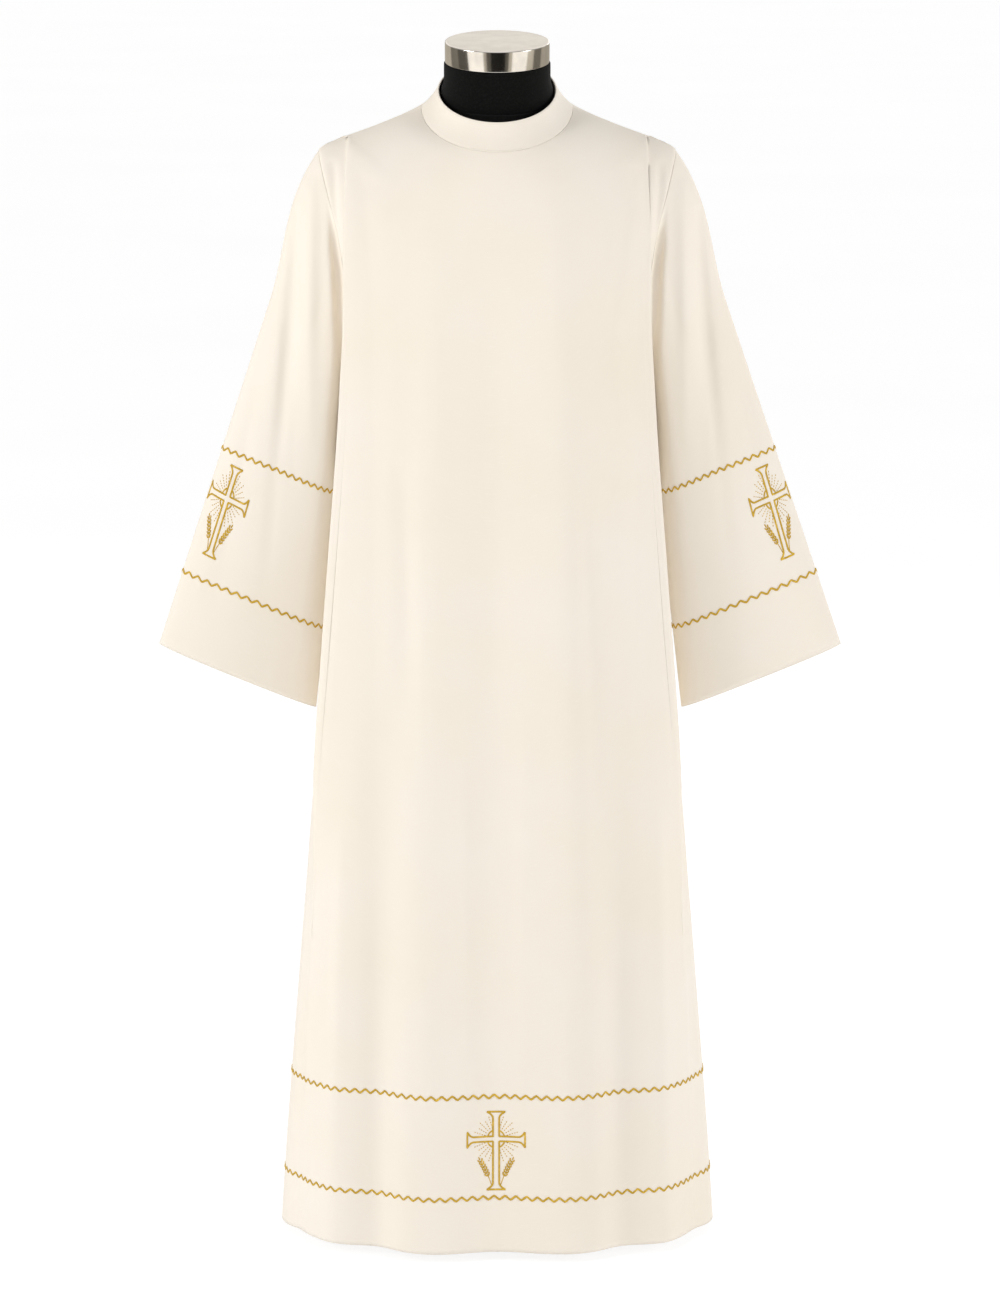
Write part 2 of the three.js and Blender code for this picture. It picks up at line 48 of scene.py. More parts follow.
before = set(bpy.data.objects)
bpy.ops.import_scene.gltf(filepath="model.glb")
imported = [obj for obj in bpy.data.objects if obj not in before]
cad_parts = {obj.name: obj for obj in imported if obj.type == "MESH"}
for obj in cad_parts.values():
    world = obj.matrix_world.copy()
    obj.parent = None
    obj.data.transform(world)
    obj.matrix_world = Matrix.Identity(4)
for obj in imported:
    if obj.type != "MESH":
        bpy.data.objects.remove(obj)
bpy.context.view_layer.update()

MM = 0.001
HEM_HEIGHT = -1000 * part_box("form_base")[0].z + 12  # of the alb's hem above the floor
SEAM_GAP = 0.3
PLEAT_ROW = 3  # the place whose row runs along the shoulder seam from the pleat to its tip
UNDERARM_ROW = 11
SKIRT_TOP_ROW = 16  # embroidery on the skirt lies below it
HEM_ROW = 19
MEASURED_HEIGHT = 140  # distances round the skirt are measured at this height
MEASURED_SHARE = 0.8  # and round a sleeve in the ring this share of the rings down

# Cuff corners and the collar's top ring
CUFF_OUTER = np.array([438.0, 4.0, 757.0])
CUFF_INNER = np.array([235.0, 2.0, 675.0])
LINE_LEVEL = 0.03  # how much nearer the cuff the sleeve's lines lie at the outer edge, as a share
CUFF_SWING = {-1: -0.012, 1: 0.004}  # how much farther out each sleeve hangs at its cuff
CUFF_HALF_DEPTH = 24
CUFF_SQUARE = 0.8
COLLAR_TOP = {"half_width": 75, "half_depth": 76, "y": -2, "z": 1462, "slope": 0.48}

# How finely the cloth is worked out
FACE_COLUMNS = 58
PLEAT_COLUMNS = 26
SIDE_COLUMNS = 16
DENSE = 400
ROW_STEP = 6.5
SLEEVE_RINGS = 130
SLEEVE_COLUMNS = 168
COLLAR_COLUMNS = 180
COLLAR_RINGS = 16

# Depth and half width of the groove where two pieces are sewn together
SEAM_DIP = 1.4
SEAM_REACH = 1.7
ARMHOLE_GAP = 0.3
ARMHOLE_DIP = 0.2  # share of the groove's depth at the armhole


def table(columns, rows):
    """A table with named columns, as one array for each column."""
    return dict(zip(columns.split(), np.array(rows, float).T))


# Places down the garment. mid is the centre line, fold the shoulder seam and below it the pleat's edge,
# edge the armhole and below it the side seam. flat squares the row's plan, round the way that it rises.
FRONT = table("midY midZ foldX foldY foldZ edgeX edgeY edgeZ flat round pleat", [
    [-88, 1389, 95, 8, 1439, 95, 8, 1439, 1.0, 1.0, 0],
    [-95, 1371, 126, 7, 1428, 126, 7, 1428, 1.1, 1.7, 0],
    [-101, 1350, 157, 7, 1416, 157, 7, 1416, 1.2, 2.1, 0],
    [-106, 1328, 187, 6, 1405, 225, 5, 1386, 1.3, 2.2, 2],
    [-109, 1310, 187.6, -9, 1401, 224, -8, 1379.5, 1.35, 2.2, 3],
    [-112, 1290, 188.6, -28, 1386, 220, -25, 1362, 1.45, 2.1, 4],
    [-115, 1266, 189.6, -52, 1351, 212, -42, 1331, 1.6, 2, 6],
    [-117, 1240, 190.6, -67, 1306, 202, -55, 1294, 1.7, 2, 7],
    [-119, 1210, 191.5, -74, 1258, 194, -61, 1250, 1.7, 2, 8],
    [-120, 1176, 191.8, -77, 1208, 188, -57, 1200, 1.7, 2, 9],
    [-121, 1140, 192.5, -78, 1161, 184.5, -37, 1153, 1.7, 2, 9],
    [-122, 1100, 195, -78, 1116, 184, 5, 1130, 1.7, 2, 9],
    [-124, 1013, 201, -78, 1020, 183, 5, 1026, 1.7, 2, 9],
    [-127, 893, 211, -77, 893, 189, 4, 893, 1.65, 2, 9],
    [-131, 753, 222, -74, 753, 203, 3, 753, 1.6, 2, 8],
    [-136, 603, 233, -68, 603, 232, 2, 603, 1.55, 2, 5],
    [-144, 438, 239, -62, 438, 247, 1, 438, 1.5, 2, 2],
    [-154, 268, 250, -62, 268, 261, 0, 268, 1.45, 2, 1],
    [-164, 118, 257, -64, 118, 273, 0, 118, 1.4, 2, 1],
    [-172, 0, 262, -65, 0, 281, 0, 0, 1.4, 2, 1],
])
BACK = {**FRONT, **table("midY midZ foldY edgeY", [
    [82, 1459, 8, 8],
    [88, 1441, 7, 7],
    [94, 1416, 7, 7],
    [100, 1386, 6, 5],
    [104, 1360, 21, 19],
    [108, 1330, 40, 36],
    [111, 1296, 62, 52],
    [112, 1260, 73, 62],
    [112, 1222, 78, 66],
    [112, 1184, 79, 60],
    [112, 1144, 79, 42],
    [112, 1102, 79, 5],
    [112, 1013, 78, 5],
    [115, 893, 77, 4],
    [121, 753, 75, 3],
    [129, 603, 70, 2],
    [140, 438, 66, 1],
    [152, 268, 66, 0],
    [164, 118, 68, 0],
    [173, 0, 69, 0],
])}  # the rest of its columns are the front's

# The largest folds. top and hem are angles round the body in degrees, 0 in the middle of the panel
# and 90 at its side seam, spread is the half width in degrees, depth is out at the hem, from the start.
FOLD = "top hem spread depth start"
FRONT_FOLDS = table(FOLD, [
    [-24, -18, 11, 15, 1378],
    [23, 20, 12, 14, 1378],
    [0, 0, 10, -9, 1228],
    [-36, -33, 6, -6, 878],
    [37, 34, 7, -7, 958],
    [-48, -46, 7, 8, 738],
    [50, 47, 7, 9, 778],
    [-70, -66, 7, -8, 618],
    [71, 66, 8, -9, 578],
])
BACK_FOLDS = table(FOLD, [
    [-8, -4, 8, -6, 1128],
    [-30, -24, 10, 14, 1308],
    [27, 22, 11, 15, 1308],
    [40, 36, 7, -8, 878],
    [-43, -38, 7, -7, 938],
    [-55, -51, 8, 9, 738],
    [53, 49, 8, 8, 738],
    [-70, -66, 7, -8, 618],
    [71, 66, 8, -9, 578],
])

# Soft folds and small creases, each along a straight line seen from the front or back
CREASE = "topX topZ endX endZ width depth"
SLEEVE_FRONT_FOLDS = table(CREASE, [
    [206, 1348, 191, 988, 6, -9],
    [233, 1348, 241, 988, 10, 2],
    [254, 1318, 276, 978, 9, -6],
])
SLEEVE_BACK_FOLDS = table(CREASE, [
    [220, 1338, 212, 1018, 10, -10],
    [240, 1338, 262, 938, 10, 6],
    [268, 1278, 318, 878, 10, -5],
])
FRONT_CREASES = table(CREASE, [
    [176, 1372, 132, 1080, 17, -4.6],
    [-166, 1360, -150, 1100, 16, -2.2],
    [206, 1376, 200, 1215, 6, -4.0],
    [-206, 1376, -201, 1220, 6, -3.4],
    [67, 1370, 112, 30, 24, 3.6],
    [-76, 1370, -100, 30, 22, 3.2],
    [0, 1290, 2, 30, 22, -3.0],
    [152, 1180, 168, 120, 16, -2.2],
    [-152, 1180, -160, 140, 15, -1.6],
    [-120, 1010, -104, 560, 13, -1.8],
    [112, 960, 128, 500, 12, -1.9],
    [38, 700, 30, 60, 12, 2.0],
    [-44, 640, -34, 40, 13, 1.8],
    [-196, 520, -214, 20, 11, 2.6],
    [204, 560, 220, 30, 12, 2.4],
    [158, 430, 150, 20, 12, -0.9],
    [-156, 470, -160, 30, 14, -0.7],
    [-92, 380, -84, 10, 9, 1.6],
    [88, 330, 82, 10, 9, 1.5],
])
BACK_CREASES = table(CREASE, [
    [150, 1340, 128, 1080, 16, -2.4],
    [-158, 1338, -138, 1100, 15, -2.2],
    [206, 1376, 200, 1215, 6, -3.6],
    [-206, 1374, -201, 1220, 6, -3.8],
    [74, 1320, 96, 40, 22, 3.2],
    [-80, 1330, -104, 40, 23, 3.4],
    [62, 1250, 50, 900, 15, -2.0],
    [-52, 1230, -64, 860, 14, -1.8],
    [118, 930, 134, 420, 12, -2.0],
    [-126, 990, -112, 500, 13, -2.2],
    [204, 540, 216, 30, 11, 2.4],
    [-198, 560, -220, 20, 12, 2.6],
    [86, 420, 76, 10, 10, 1.8],
    [-90, 360, -84, 10, 9, 1.6],
])
PANELS = {
    "front": (FRONT, FRONT_FOLDS, FRONT_CREASES, -1),
    "back": (BACK, BACK_FOLDS, BACK_CREASES, 1),
}  # its places, folds and creases, and which way along Y it faces
SLEEVE_CREASES = table(CREASE, [
    [207, 1352, 186, 1060, 5, -7.0],
    [232, 1352, 238, 1000, 9, 2.6],
    [254, 1340, 261, 950, 7, -2.4],
    [262, 1180, 300, 820, 9, -2.4],
    [300, 1130, 372, 760, 10, -1.6],
    [190, 1150, 236, 700, 12, -2.2],
    [330, 1010, 400, 770, 9, 1.2],
])


def along(values, r, first=0, last=HEM_ROW):
    """The smooth value of a column at place r: a cubic through the places from first to last, whose slope
    at a place is half the rise between its neighbours."""
    i = np.clip(np.floor(r), first, last - 1).astype(int)
    t = r - i
    a, b, c, d = (values[np.clip(i + k, first, last)] for k in (-1, 0, 1, 2))
    start = np.where(i == first, c - b, (c - a) / 2)
    end = np.where(i + 1 == last, c - b, (d - b) / 2)
    rise = c - b
    return b + t * (start + t * (3 * rise - 2 * start - end + t * (start + end - 2 * rise)))


def spots(rows, name, r, parts):
    """Points of the line called name at places r, each stretch of it smooth by itself."""
    point = np.zeros((len(r), 3))
    for first, last in parts:
        here = (r >= first) & (r <= last)
        for axis, letter in enumerate("XYZ"):
            column = rows.get(name + letter)
            if column is not None:
                point[here, axis] = along(column, r[here], first, last)
    return point


def places():
    """The places worked out down a panel: about ROW_STEP apart, and closer at the neck and shoulder seams."""
    heights = FRONT["foldZ"]
    stops = []
    for k in range(HEM_ROW):
        cuts = max(6, round(max(abs(heights[k] - heights[k + 1]), 14) / ROW_STEP))
        power = 1.6 if k in (0, PLEAT_ROW) else 1
        cuts += 4 if power > 1 else 0
        stops.append(k + np.linspace(0, 1, cuts, endpoint=False) ** power)
    return np.append(np.concatenate(stops), HEM_ROW)


def smooth(t):
    """0 up to t = 0, 1 from t = 1, and a soft S between them."""
    t = np.clip(t, 0, 1)
    return t * t * (3 - 2 * t)


def bell(x):
    """1 at 0, falling away on both sides as e to the minus x squared."""
    return np.exp(-(x**2))


def length(v):
    return np.linalg.norm(v, axis=-1, keepdims=True)


def unit(v):
    return v / np.maximum(length(v), 1e-9)


def normals_of(points, turn=1):
    """Unit normals of a grid of points: the cross product of its two directions."""
    return unit(turn * np.cross(np.gradient(points, axis=1), np.gradient(points, axis=0)))


def fold_push(folds, mid, edge, points, side):
    """How far the large folds push points out: each is a bell across its angle round the body, with a centre
    that moves from top to hem, and it deepens from its start down to the hem."""
    x = points[..., 0] / np.maximum(edge[..., 0], 1)
    y = points[..., 1] / mid[..., 1]
    angle = side * np.degrees(np.arctan2(x, y))
    push = np.zeros(angle.shape)
    for top, hem, spread, depth, start in zip(*folds.values()):
        down = np.clip(1 - points[..., 2] / start, 0, 1)
        centre = top + (hem - top) * down
        push += depth * down**0.9 * bell((angle - centre) / spread)
    outward = unit(np.stack([x, y * np.sign(mid[..., 1]), np.zeros(x.shape)], -1))
    return outward * push[..., None]


def crease_push(creases, x, z):
    """How far creases push points out: each a bell across its own line, as deep as a half sine along it."""
    push = np.zeros(np.broadcast(x, z).shape)
    for top_x, top_z, end_x, end_z, width, depth in zip(*creases.values()):
        down = np.clip((top_z - z) / (top_z - end_z), 0, 1)
        off = (x - top_x - (end_x - top_x) * down) / width
        push += depth * np.sin(np.pi * np.sqrt(down)) * bell(off)
    return push


LINES = {
    "mid": [(0, HEM_ROW)],
    "fold": [(0, PLEAT_ROW), (PLEAT_ROW, HEM_ROW)],
    "edge": [(0, PLEAT_ROW), (PLEAT_ROW, UNDERARM_ROW), (UNDERARM_ROW, HEM_ROW)],
}  # the stretches of each line that are smooth by themselves
GROOVE_WIDTH = 3.2
PLEAT_LAP = 12.0  # how far the pleat's two hidden layers reach back under its face
PLEAT_REACH = 42.0  # the face rises towards the pleat's edge over this width
PLEAT_SHARE = 0.2  # of the solid's pleat height, which the pressed cloth keeps
PLEAT_LAYER = {-1: 0.7, 1: 0.85}  # from one layer of the pleat to the next on each side
PLEAT_OPENING = 0.45  # in places, how far below the shoulder seam the pleat is folded
UNROLL_FROM = 620  # below this height the pleat unrolls towards the hem
UNROLL_OVER = 320
KINK_REACH = 0.85  # in places, how widely the bend at the pleat's top is smoothed across the face
GROOVE = table("z inside depth", [
    [60, 16, 0.0],
    [620, 14, 0.4],
    [780, 12, 1.0],
    [1000, 8, 1.0],
    [1200, 5.5, 0.8],
    [1330, 4, 0.3],
    [1400, 4, 0.0],
])  # the soft groove inside the pleat's edge


@functools.cache
def half_panel(name, side):
    """One half of a front or back panel, from its centre line to its armhole and side seam.

    A row's face runs from the centre line to the pleat's edge: x follows the sine of an angle, depth and
    height powers of its cosine. At the edge the cloth goes back under itself and out again, a cosine wave
    across whose three layers lie under each other. Beyond it x follows a sine to the seam, depth and height
    straight lines. Towards the hem and the shoulder seam the pleat unrolls. The bend at the pleat's top is
    smoothed away from the seam. Returns the points and the rows' places."""
    rows, folds, creases, facing = PANELS[name]
    r = places()
    mid, fold, edge = (spots(rows, line, r, parts)[:, None] for line, parts in LINES.items())
    flat, rounding, pleat = (along(rows[name], r)[:, None] for name in ("flat", "round", "pleat"))
    angle = np.linspace(0, np.pi / 2, DENSE)
    cosine = np.maximum(np.cos(angle), 0)
    dense = np.stack([
        fold[..., 0] * np.sin(angle),
        fold[..., 1] + (mid[..., 1] - fold[..., 1]) * cosine**flat,
        fold[..., 2] + (mid[..., 2] - fold[..., 2]) * cosine**rounding,
    ], -1)
    dense += fold_push(folds, mid, edge, dense, side)
    near = bell((r[:, None] - r) / KINK_REACH) * np.gradient(r)
    softened = np.tensordot(near / near.sum(axis=1, keepdims=True), dense, 1)
    soft = bell((r - PLEAT_ROW) / 1.3)[:, None] * (1 - smooth((angle / angle[-1] - 0.78) / 0.22))
    dense += (softened - dense) * soft[..., None]
    out = normals_of(dense, facing)
    shoulder = smooth(1 - np.abs(r - np.clip(r, 0, PLEAT_ROW)) / 0.5)[:, None]
    near_seam = shoulder * smooth(1 - (DENSE - 1 - np.arange(DENSE)) / (0.08 * DENSE))
    out[..., 1] *= 1 - near_seam
    out = unit(out)
    steps = length(np.diff(dense, axis=1))[..., 0]
    inward = np.concatenate([np.cumsum(steps[:, ::-1], axis=1)[:, ::-1], np.zeros((len(r), 1))], axis=1)

    # How far the pleat is unrolled, 0 where it's folded and 1 where it lies flat
    at_top = smooth((PLEAT_ROW - r) / PLEAT_OPENING + 1)
    unrolled = np.maximum(at_top, smooth((UNROLL_FROM - fold[:, 0, 2]) / UNROLL_OVER))[:, None]
    rise = PLEAT_SHARE * pleat
    spread = 1.25 if facing > 0 else 1
    share = np.linspace(0, 1, FACE_COLUMNS, endpoint=False) ** spread
    whole = inward[:, :1]
    on_face = whole - (whole - PLEAT_LAP) * share
    w = np.linspace(0, 1, PLEAT_COLUMNS)
    turn = 3 * np.pi * w
    rolled = PLEAT_LAP * (1 + np.cos(turn)) / 2
    on_pleat = (1 - unrolled) * rolled + unrolled * PLEAT_LAP * (1 - w)
    first_drop = smooth((turn - np.pi) / 0.9 + 0.5)
    second_drop = smooth((turn - 2 * np.pi) / 0.9 + 0.5)
    inside = np.concatenate([on_face, on_pleat], axis=1)
    layer = PLEAT_LAYER[side]
    lift = rise * np.maximum(0, 1 - inside / PLEAT_REACH) ** 1.5
    lift[:, FACE_COLUMNS:] -= (1 - unrolled) * layer * (first_drop + second_drop)

    def at(values):
        return np.stack([np.interp(inside[i], inward[i, ::-1], values[i, ::-1]) for i in range(len(r))])

    face = np.stack([at(dense[..., axis]) for axis in range(3)], -1)
    face_out = unit(np.stack([at(out[..., axis]) for axis in range(3)], -1))
    z = face[..., 2]
    groove_at = np.interp(z, GROOVE["z"], GROOVE["inside"])
    depth = np.interp(z, GROOVE["z"], GROOVE["depth"])
    lift[:, :FACE_COLUMNS + 4] -= (depth * bell((inside - groove_at) / GROOVE_WIDTH))[:, :FACE_COLUMNS + 4]
    lift += crease_push(creases, side * face[..., 0], z)
    on_seam = (r <= PLEAT_ROW)[:, None] * bell(inside / SEAM_REACH)
    lift -= SEAM_DIP * on_seam
    face = face + face_out * lift[..., None]

    t = np.sin(np.linspace(0, np.pi / 2, SIDE_COLUMNS + 1))[None, :]
    beyond = fold + (edge - fold) * t[..., None]
    beyond[..., 0] = fold[..., 0] + (edge[..., 0] - fold[..., 0]) * np.sin(t * np.pi / 2)
    beyond += fold_push(folds, mid, edge, beyond, side)
    beyond_out = normals_of(beyond, facing)
    wide = length(edge - fold)[..., 0]
    below = running(edge[:, 0])
    below = (below - np.interp(PLEAT_ROW, r, below))[:, None]
    at_side = ARMHOLE_DIP + (1 - ARMHOLE_DIP) * smooth((r - UNDERARM_ROW) / 0.3)[:, None]
    dip = SEAM_DIP * at_side * bell((1 - t) * wide / SEAM_REACH)
    dip = np.maximum(dip, SEAM_DIP * smooth((1 - t) * wide / 8) * bell(below / SEAM_REACH))
    fade = smooth((t - 0.05) / 0.3)
    free = 1 - bell((1 - t) * wide / 6)
    push = (crease_push(creases, side * beyond[..., 0], beyond[..., 2]) * free - dip) * fade
    carried = (rise - 2 * layer * (1 - unrolled)) * bell(t * wide / 20)
    push += carried * (1 - smooth((t - 0.5) / 0.4))
    flatten = smooth(1 - below / 6) * np.ones(t.shape)
    flatten = np.maximum(flatten, smooth((t - 0.85) / 0.15) * (r > UNDERARM_ROW)[:, None])
    beyond_out[..., 1] *= 1 - flatten
    beyond = beyond + unit(beyond_out) * push[..., None]

    points = np.concatenate([face, beyond[:, 1:]], axis=1)
    seam = np.zeros(points.shape[:2], bool)
    seam[r <= PLEAT_ROW, FACE_COLUMNS + PLEAT_COLUMNS - 1] = True
    seam[np.isclose(r, PLEAT_ROW), FACE_COLUMNS + PLEAT_COLUMNS - 1:] = True
    seam[r >= UNDERARM_ROW, -1] = True
    points[seam, 1] = np.broadcast_to(edge[:, :, 1], seam.shape)[seam]
    points[seam, 1] += facing * SEAM_GAP / 2
    return points * [side, 1, 1], r


def cuff_point(u):
    """The cuff at share u of the way round, 0 at its outer corner: a flattened, squared oval."""
    middle = (CUFF_OUTER + CUFF_INNER) / 2
    across, depth = np.cos(2 * np.pi * u), np.sin(2 * np.pi * u)
    point = middle + (CUFF_OUTER - middle) * (np.sign(across) * np.abs(across) ** CUFF_SQUARE)[..., None]
    point[..., 1] -= CUFF_HALF_DEPTH * np.sign(depth) * np.abs(depth) ** CUFF_SQUARE
    return point


def armhole(u):
    """The armhole at share u of the way round: from the shoulder tip down the front and up the back."""
    reach = UNDERARM_ROW - PLEAT_ROW
    place = PLEAT_ROW + 2 * reach * np.abs(u)
    parts = [(PLEAT_ROW, UNDERARM_ROW)]
    return np.where(u[:, None] > 0, spots(FRONT, "edge", place, parts), spots(BACK, "edge", place, parts))


SLEEVE_HEAD = 11
SLEEVE_UNDER = 7


def sleeve_grid(side):
    """A sleeve: straight lines from the armhole to the cuff, rounded out at its head and under the arm, with
    its folds pushed out in depth and its creases along the normal. u is the share of the way round, 0 at the
    outer edge and positive to the front. Returns the points, the share of the way down of each row and the
    length of each column's line."""
    u = np.linspace(-0.5, 0.5, SLEEVE_COLUMNS + 1)
    top = armhole(u)
    foot = cuff_point(u)
    line = length(foot - top)[:, 0]
    slant = length(np.cross(unit(np.gradient(top, axis=0)), foot - top))[:, 0]
    v = np.linspace(0, 1, SLEEVE_RINGS + 1) ** 1.4
    start = ARMHOLE_GAP / np.maximum(slant, 0.3 * line) * (1 - v[:, None])
    points = top + (foot - top) * (v[:, None] + start)[..., None]
    off_seam = (v[:, None] + start) * slant
    outer = np.cos(2 * np.pi * u)
    face = np.abs(np.sin(2 * np.pi * u)) ** 0.5
    t = np.minimum(v / 0.3, 1)[:, None]
    points[..., 0] += SLEEVE_HEAD * np.maximum(0, outer) * 6.75 * t * (1 - t) ** 2
    points[..., 0] += SLEEVE_UNDER * np.maximum(0, -outer) * np.sin(np.pi * np.minimum(1, v / 0.4))[:, None]
    x, z = points[..., 0], points[..., 2]
    fade = face * np.minimum(1, v / 0.04)[:, None]
    front = u > 0
    push = np.where(front, crease_push(SLEEVE_FRONT_FOLDS, x, z), crease_push(SLEEVE_BACK_FOLDS, x, z))
    points[..., 1] += np.where(front, -1, 1) * fade * push
    out = normals_of(points)
    lift = crease_push(SLEEVE_CREASES, x, z) * face
    lift *= 1 - bell(off_seam / 4)
    lift -= SEAM_DIP * ARMHOLE_DIP * bell(off_seam / SEAM_REACH)
    points = points + out * lift[..., None]
    points[..., 0] *= 1 + CUFF_SWING[side] * v[:, None]
    return points * [side, 1, 1], v, line


def collar_grid():
    """The collar band, open at the centre back: each line runs from the neckline to a ring that leans
    forward, curved in by a half sine and rolled in at its top edge."""
    angle = np.linspace(0.0, 2 * np.pi, COLLAR_COLUMNS + 1)
    back = np.maximum(np.cos(angle), 0)
    front = np.minimum(np.cos(angle), 0)
    low = np.stack([-95 * np.sin(angle), 8 + 74 * back + 96 * front, 1439.2 + 20 * back + 50 * front], -1)
    y = COLLAR_TOP["y"] + COLLAR_TOP["half_depth"] * np.cos(angle)
    high_z = COLLAR_TOP["z"] + COLLAR_TOP["slope"] * (y - COLLAR_TOP["y"])
    high = np.stack([-COLLAR_TOP["half_width"] * np.sin(angle), y, high_z], -1)
    t = np.sin(np.linspace(0, np.pi / 2, COLLAR_RINGS + 1)) ** 1.3
    points = low + (high - low) * t[:, None, None]
    tall = length(high - low)[:, 0]
    inward = 2.5 * np.sin(np.pi * t)[:, None] + 0.9 * bell((1 - t[:, None]) * tall / 1.2)
    points[..., 0] += inward * np.sin(angle)
    points[..., 1] -= inward * np.cos(angle)
    points[:, 0, 0] = -SEAM_GAP / 2
    points[:, -1, 0] = SEAM_GAP / 2
    return points


# Meshes


def to_world(points):
    return (points.reshape(-1, 3) + [0, 0, HEM_HEIGHT]) * MM


def new_object(name, points, faces, uv=None):
    """A mesh object at the origin from world points, a list of faces and a texture place for each point."""
    mesh = bpy.data.meshes.new(name)
    mesh.from_pydata(np.asarray(points).tolist(), [], faces)
    if uv is not None:
        layer = mesh.uv_layers.new(name="Along the cloth")
        corner = np.zeros(len(mesh.loops), int)
        mesh.loops.foreach_get("vertex_index", corner)
        layer.data.foreach_set("uv", np.asarray(uv, float)[corner].ravel())
    mesh.polygons.foreach_set("use_smooth", np.ones(len(mesh.polygons), bool))
    mesh.update()
    made = bpy.data.objects.new(name, mesh)
    bpy.context.scene.collection.objects.link(made)
    return made


def finished(made, material, node=None):
    """Gives a piece its material and body, and hides the CAD node that it replaces if it has one."""
    made.data.materials.append(material)
    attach(made, "root")
    if node:
        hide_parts(node)
    return made


def face_outwards(mesh):
    """Turns every separate shell of a mesh so that its faces point out."""
    work = bmesh.new()
    work.from_mesh(mesh)
    bmesh.ops.recalc_face_normals(work, faces=work.faces)
    work.to_mesh(mesh)
    work.free()


def grid_faces(rows, columns, turned=False, wrap=False):
    """Quads of a grid of points, as one array of rows. wrap joins the last column to the first."""
    i, j = np.meshgrid(np.arange(rows - 1), np.arange(columns if wrap else columns - 1), indexing="ij")
    k = (j + 1) % columns
    quads = np.stack([i * columns + j, (i + 1) * columns + j, (i + 1) * columns + k, i * columns + k], -1)
    return quads[..., ::-1] if turned else quads


def flat_places(points):
    """Texture places in metres: the distance along each row and down each column."""
    across = np.cumsum(np.pad(length(np.diff(points, axis=1))[..., 0], ((0, 0), (1, 0))), axis=1)
    across -= across[:, [across.shape[1] // 2]]
    down = np.cumsum(np.pad(length(np.diff(points, axis=0))[..., 0], ((1, 0), (0, 0))), axis=0)
    return np.stack([across, -down], -1).reshape(-1, 2) * MM


def cloth_piece(node, points, quads, thickness):
    """A thin closed shell of cloth whose outer face is the grid, with only the points that its quads use."""
    uv = flat_places(points)
    used, faces = np.unique(quads.reshape(-1, 4), return_inverse=True)
    made = new_object("alb_" + node, to_world(points)[used], faces.reshape(-1, 4).tolist(), uv[used])
    made.data.validate()
    wall = made.modifiers.new("Cloth thickness", "SOLIDIFY")
    wall.thickness = thickness
    wall.offset = -1
    wall.use_rim = True
    finished(made, cloth_material(), node)


# Materials


class Shader:
    """A procedural material: its nodes are added one by one and linked by socket name."""

    def __init__(self, name):
        self.material = bpy.data.materials.new(name)
        self.material.use_nodes = True
        self.tree = self.material.node_tree
        self.skin = self.tree.nodes["Principled BSDF"]

    def node(self, kind, values=None, **settings):
        made = self.tree.nodes.new("ShaderNode" + kind)
        for key, value in settings.items():
            setattr(made, key, value)
        for key, value in (values or {}).items():
            made.inputs[key].default_value = value
        return made

    def link(self, source, output, target, socket):
        self.tree.links.new(source.outputs[output], target.inputs[socket])

    def set(self, **values):
        for key, value in values.items():
            self.skin.inputs[key.replace("_", " ")].default_value = value

    def place(self, kind, scale):
        """Object or UV coordinates through a Mapping node."""
        coordinates = self.node("TexCoord")
        mapping = self.node("Mapping", {"Scale": scale})
        self.link(coordinates, kind, mapping, "Vector")
        return mapping

    def noise(self, kind, scale, detail=3.0, roughness=0.5, stretch=(1, 1, 1)):
        made = self.node("TexNoise", {"Scale": scale, "Detail": detail, "Roughness": roughness})
        self.link(self.place(kind, stretch), "Vector", made, "Vector")
        return made

    def wave(self, scale, direction):
        made = self.node("TexWave", {"Scale": scale, "Distortion": 0.6, "Detail": 1.0, "Detail Scale": 2.0})
        made.bands_direction = direction
        self.link(self.place("UV", (1, 1, 1)), "Vector", made, "Vector")
        return made

    def mix(self, first, second, socket, share):
        """Two colours mixed by a node's output, into a socket of the surface if one is named."""
        made = self.node("Mix", data_type="RGBA")
        for colour, name in ((first, 6), (second, 7)):
            if isinstance(colour, tuple):
                made.inputs[name].default_value = (*colour, 1)
            else:
                self.tree.links.new(colour, made.inputs[name])
        self.tree.links.new(share, made.inputs["Factor"])
        if socket:
            self.tree.links.new(made.outputs[2], self.skin.inputs[socket])
        return made.outputs[2]

    def band(self, source, low, high):
        """A pattern's value from low to high, spread over 0 to 1."""
        made = self.node("MapRange", {"From Min": low, "From Max": high})
        self.link(source, "Fac", made, "Value")
        return made.outputs["Result"]

    def bump(self, *layers):
        """Bumps on each other: each a pattern, its strength and its depth in metres."""
        below = None
        for source, strength, depth in layers:
            made = self.node("Bump", {"Strength": strength, "Distance": depth})
            self.link(source, "Fac", made, "Height")
            if below is not None:
                self.link(below, "Normal", made, "Normal")
            below = made
        self.link(below, "Normal", self.skin, "Normal")


def colours():
    return bpy.context.scene.alb_colours


def sizes():
    return bpy.context.scene.alb_sizes


def once(name):
    """Makes a function that fills in a shader give the material of that name, filled in the first time."""

    def keep(fill):
        def material():
            if name not in bpy.data.materials:
                fill(Shader(name))
            return bpy.data.materials[name]

        return material

    return keep


def times(colour, share):
    """A colour made darker or lighter, by one share or one for each channel."""
    return tuple(float(c) for c in np.minimum(1, np.array(colour) * share))


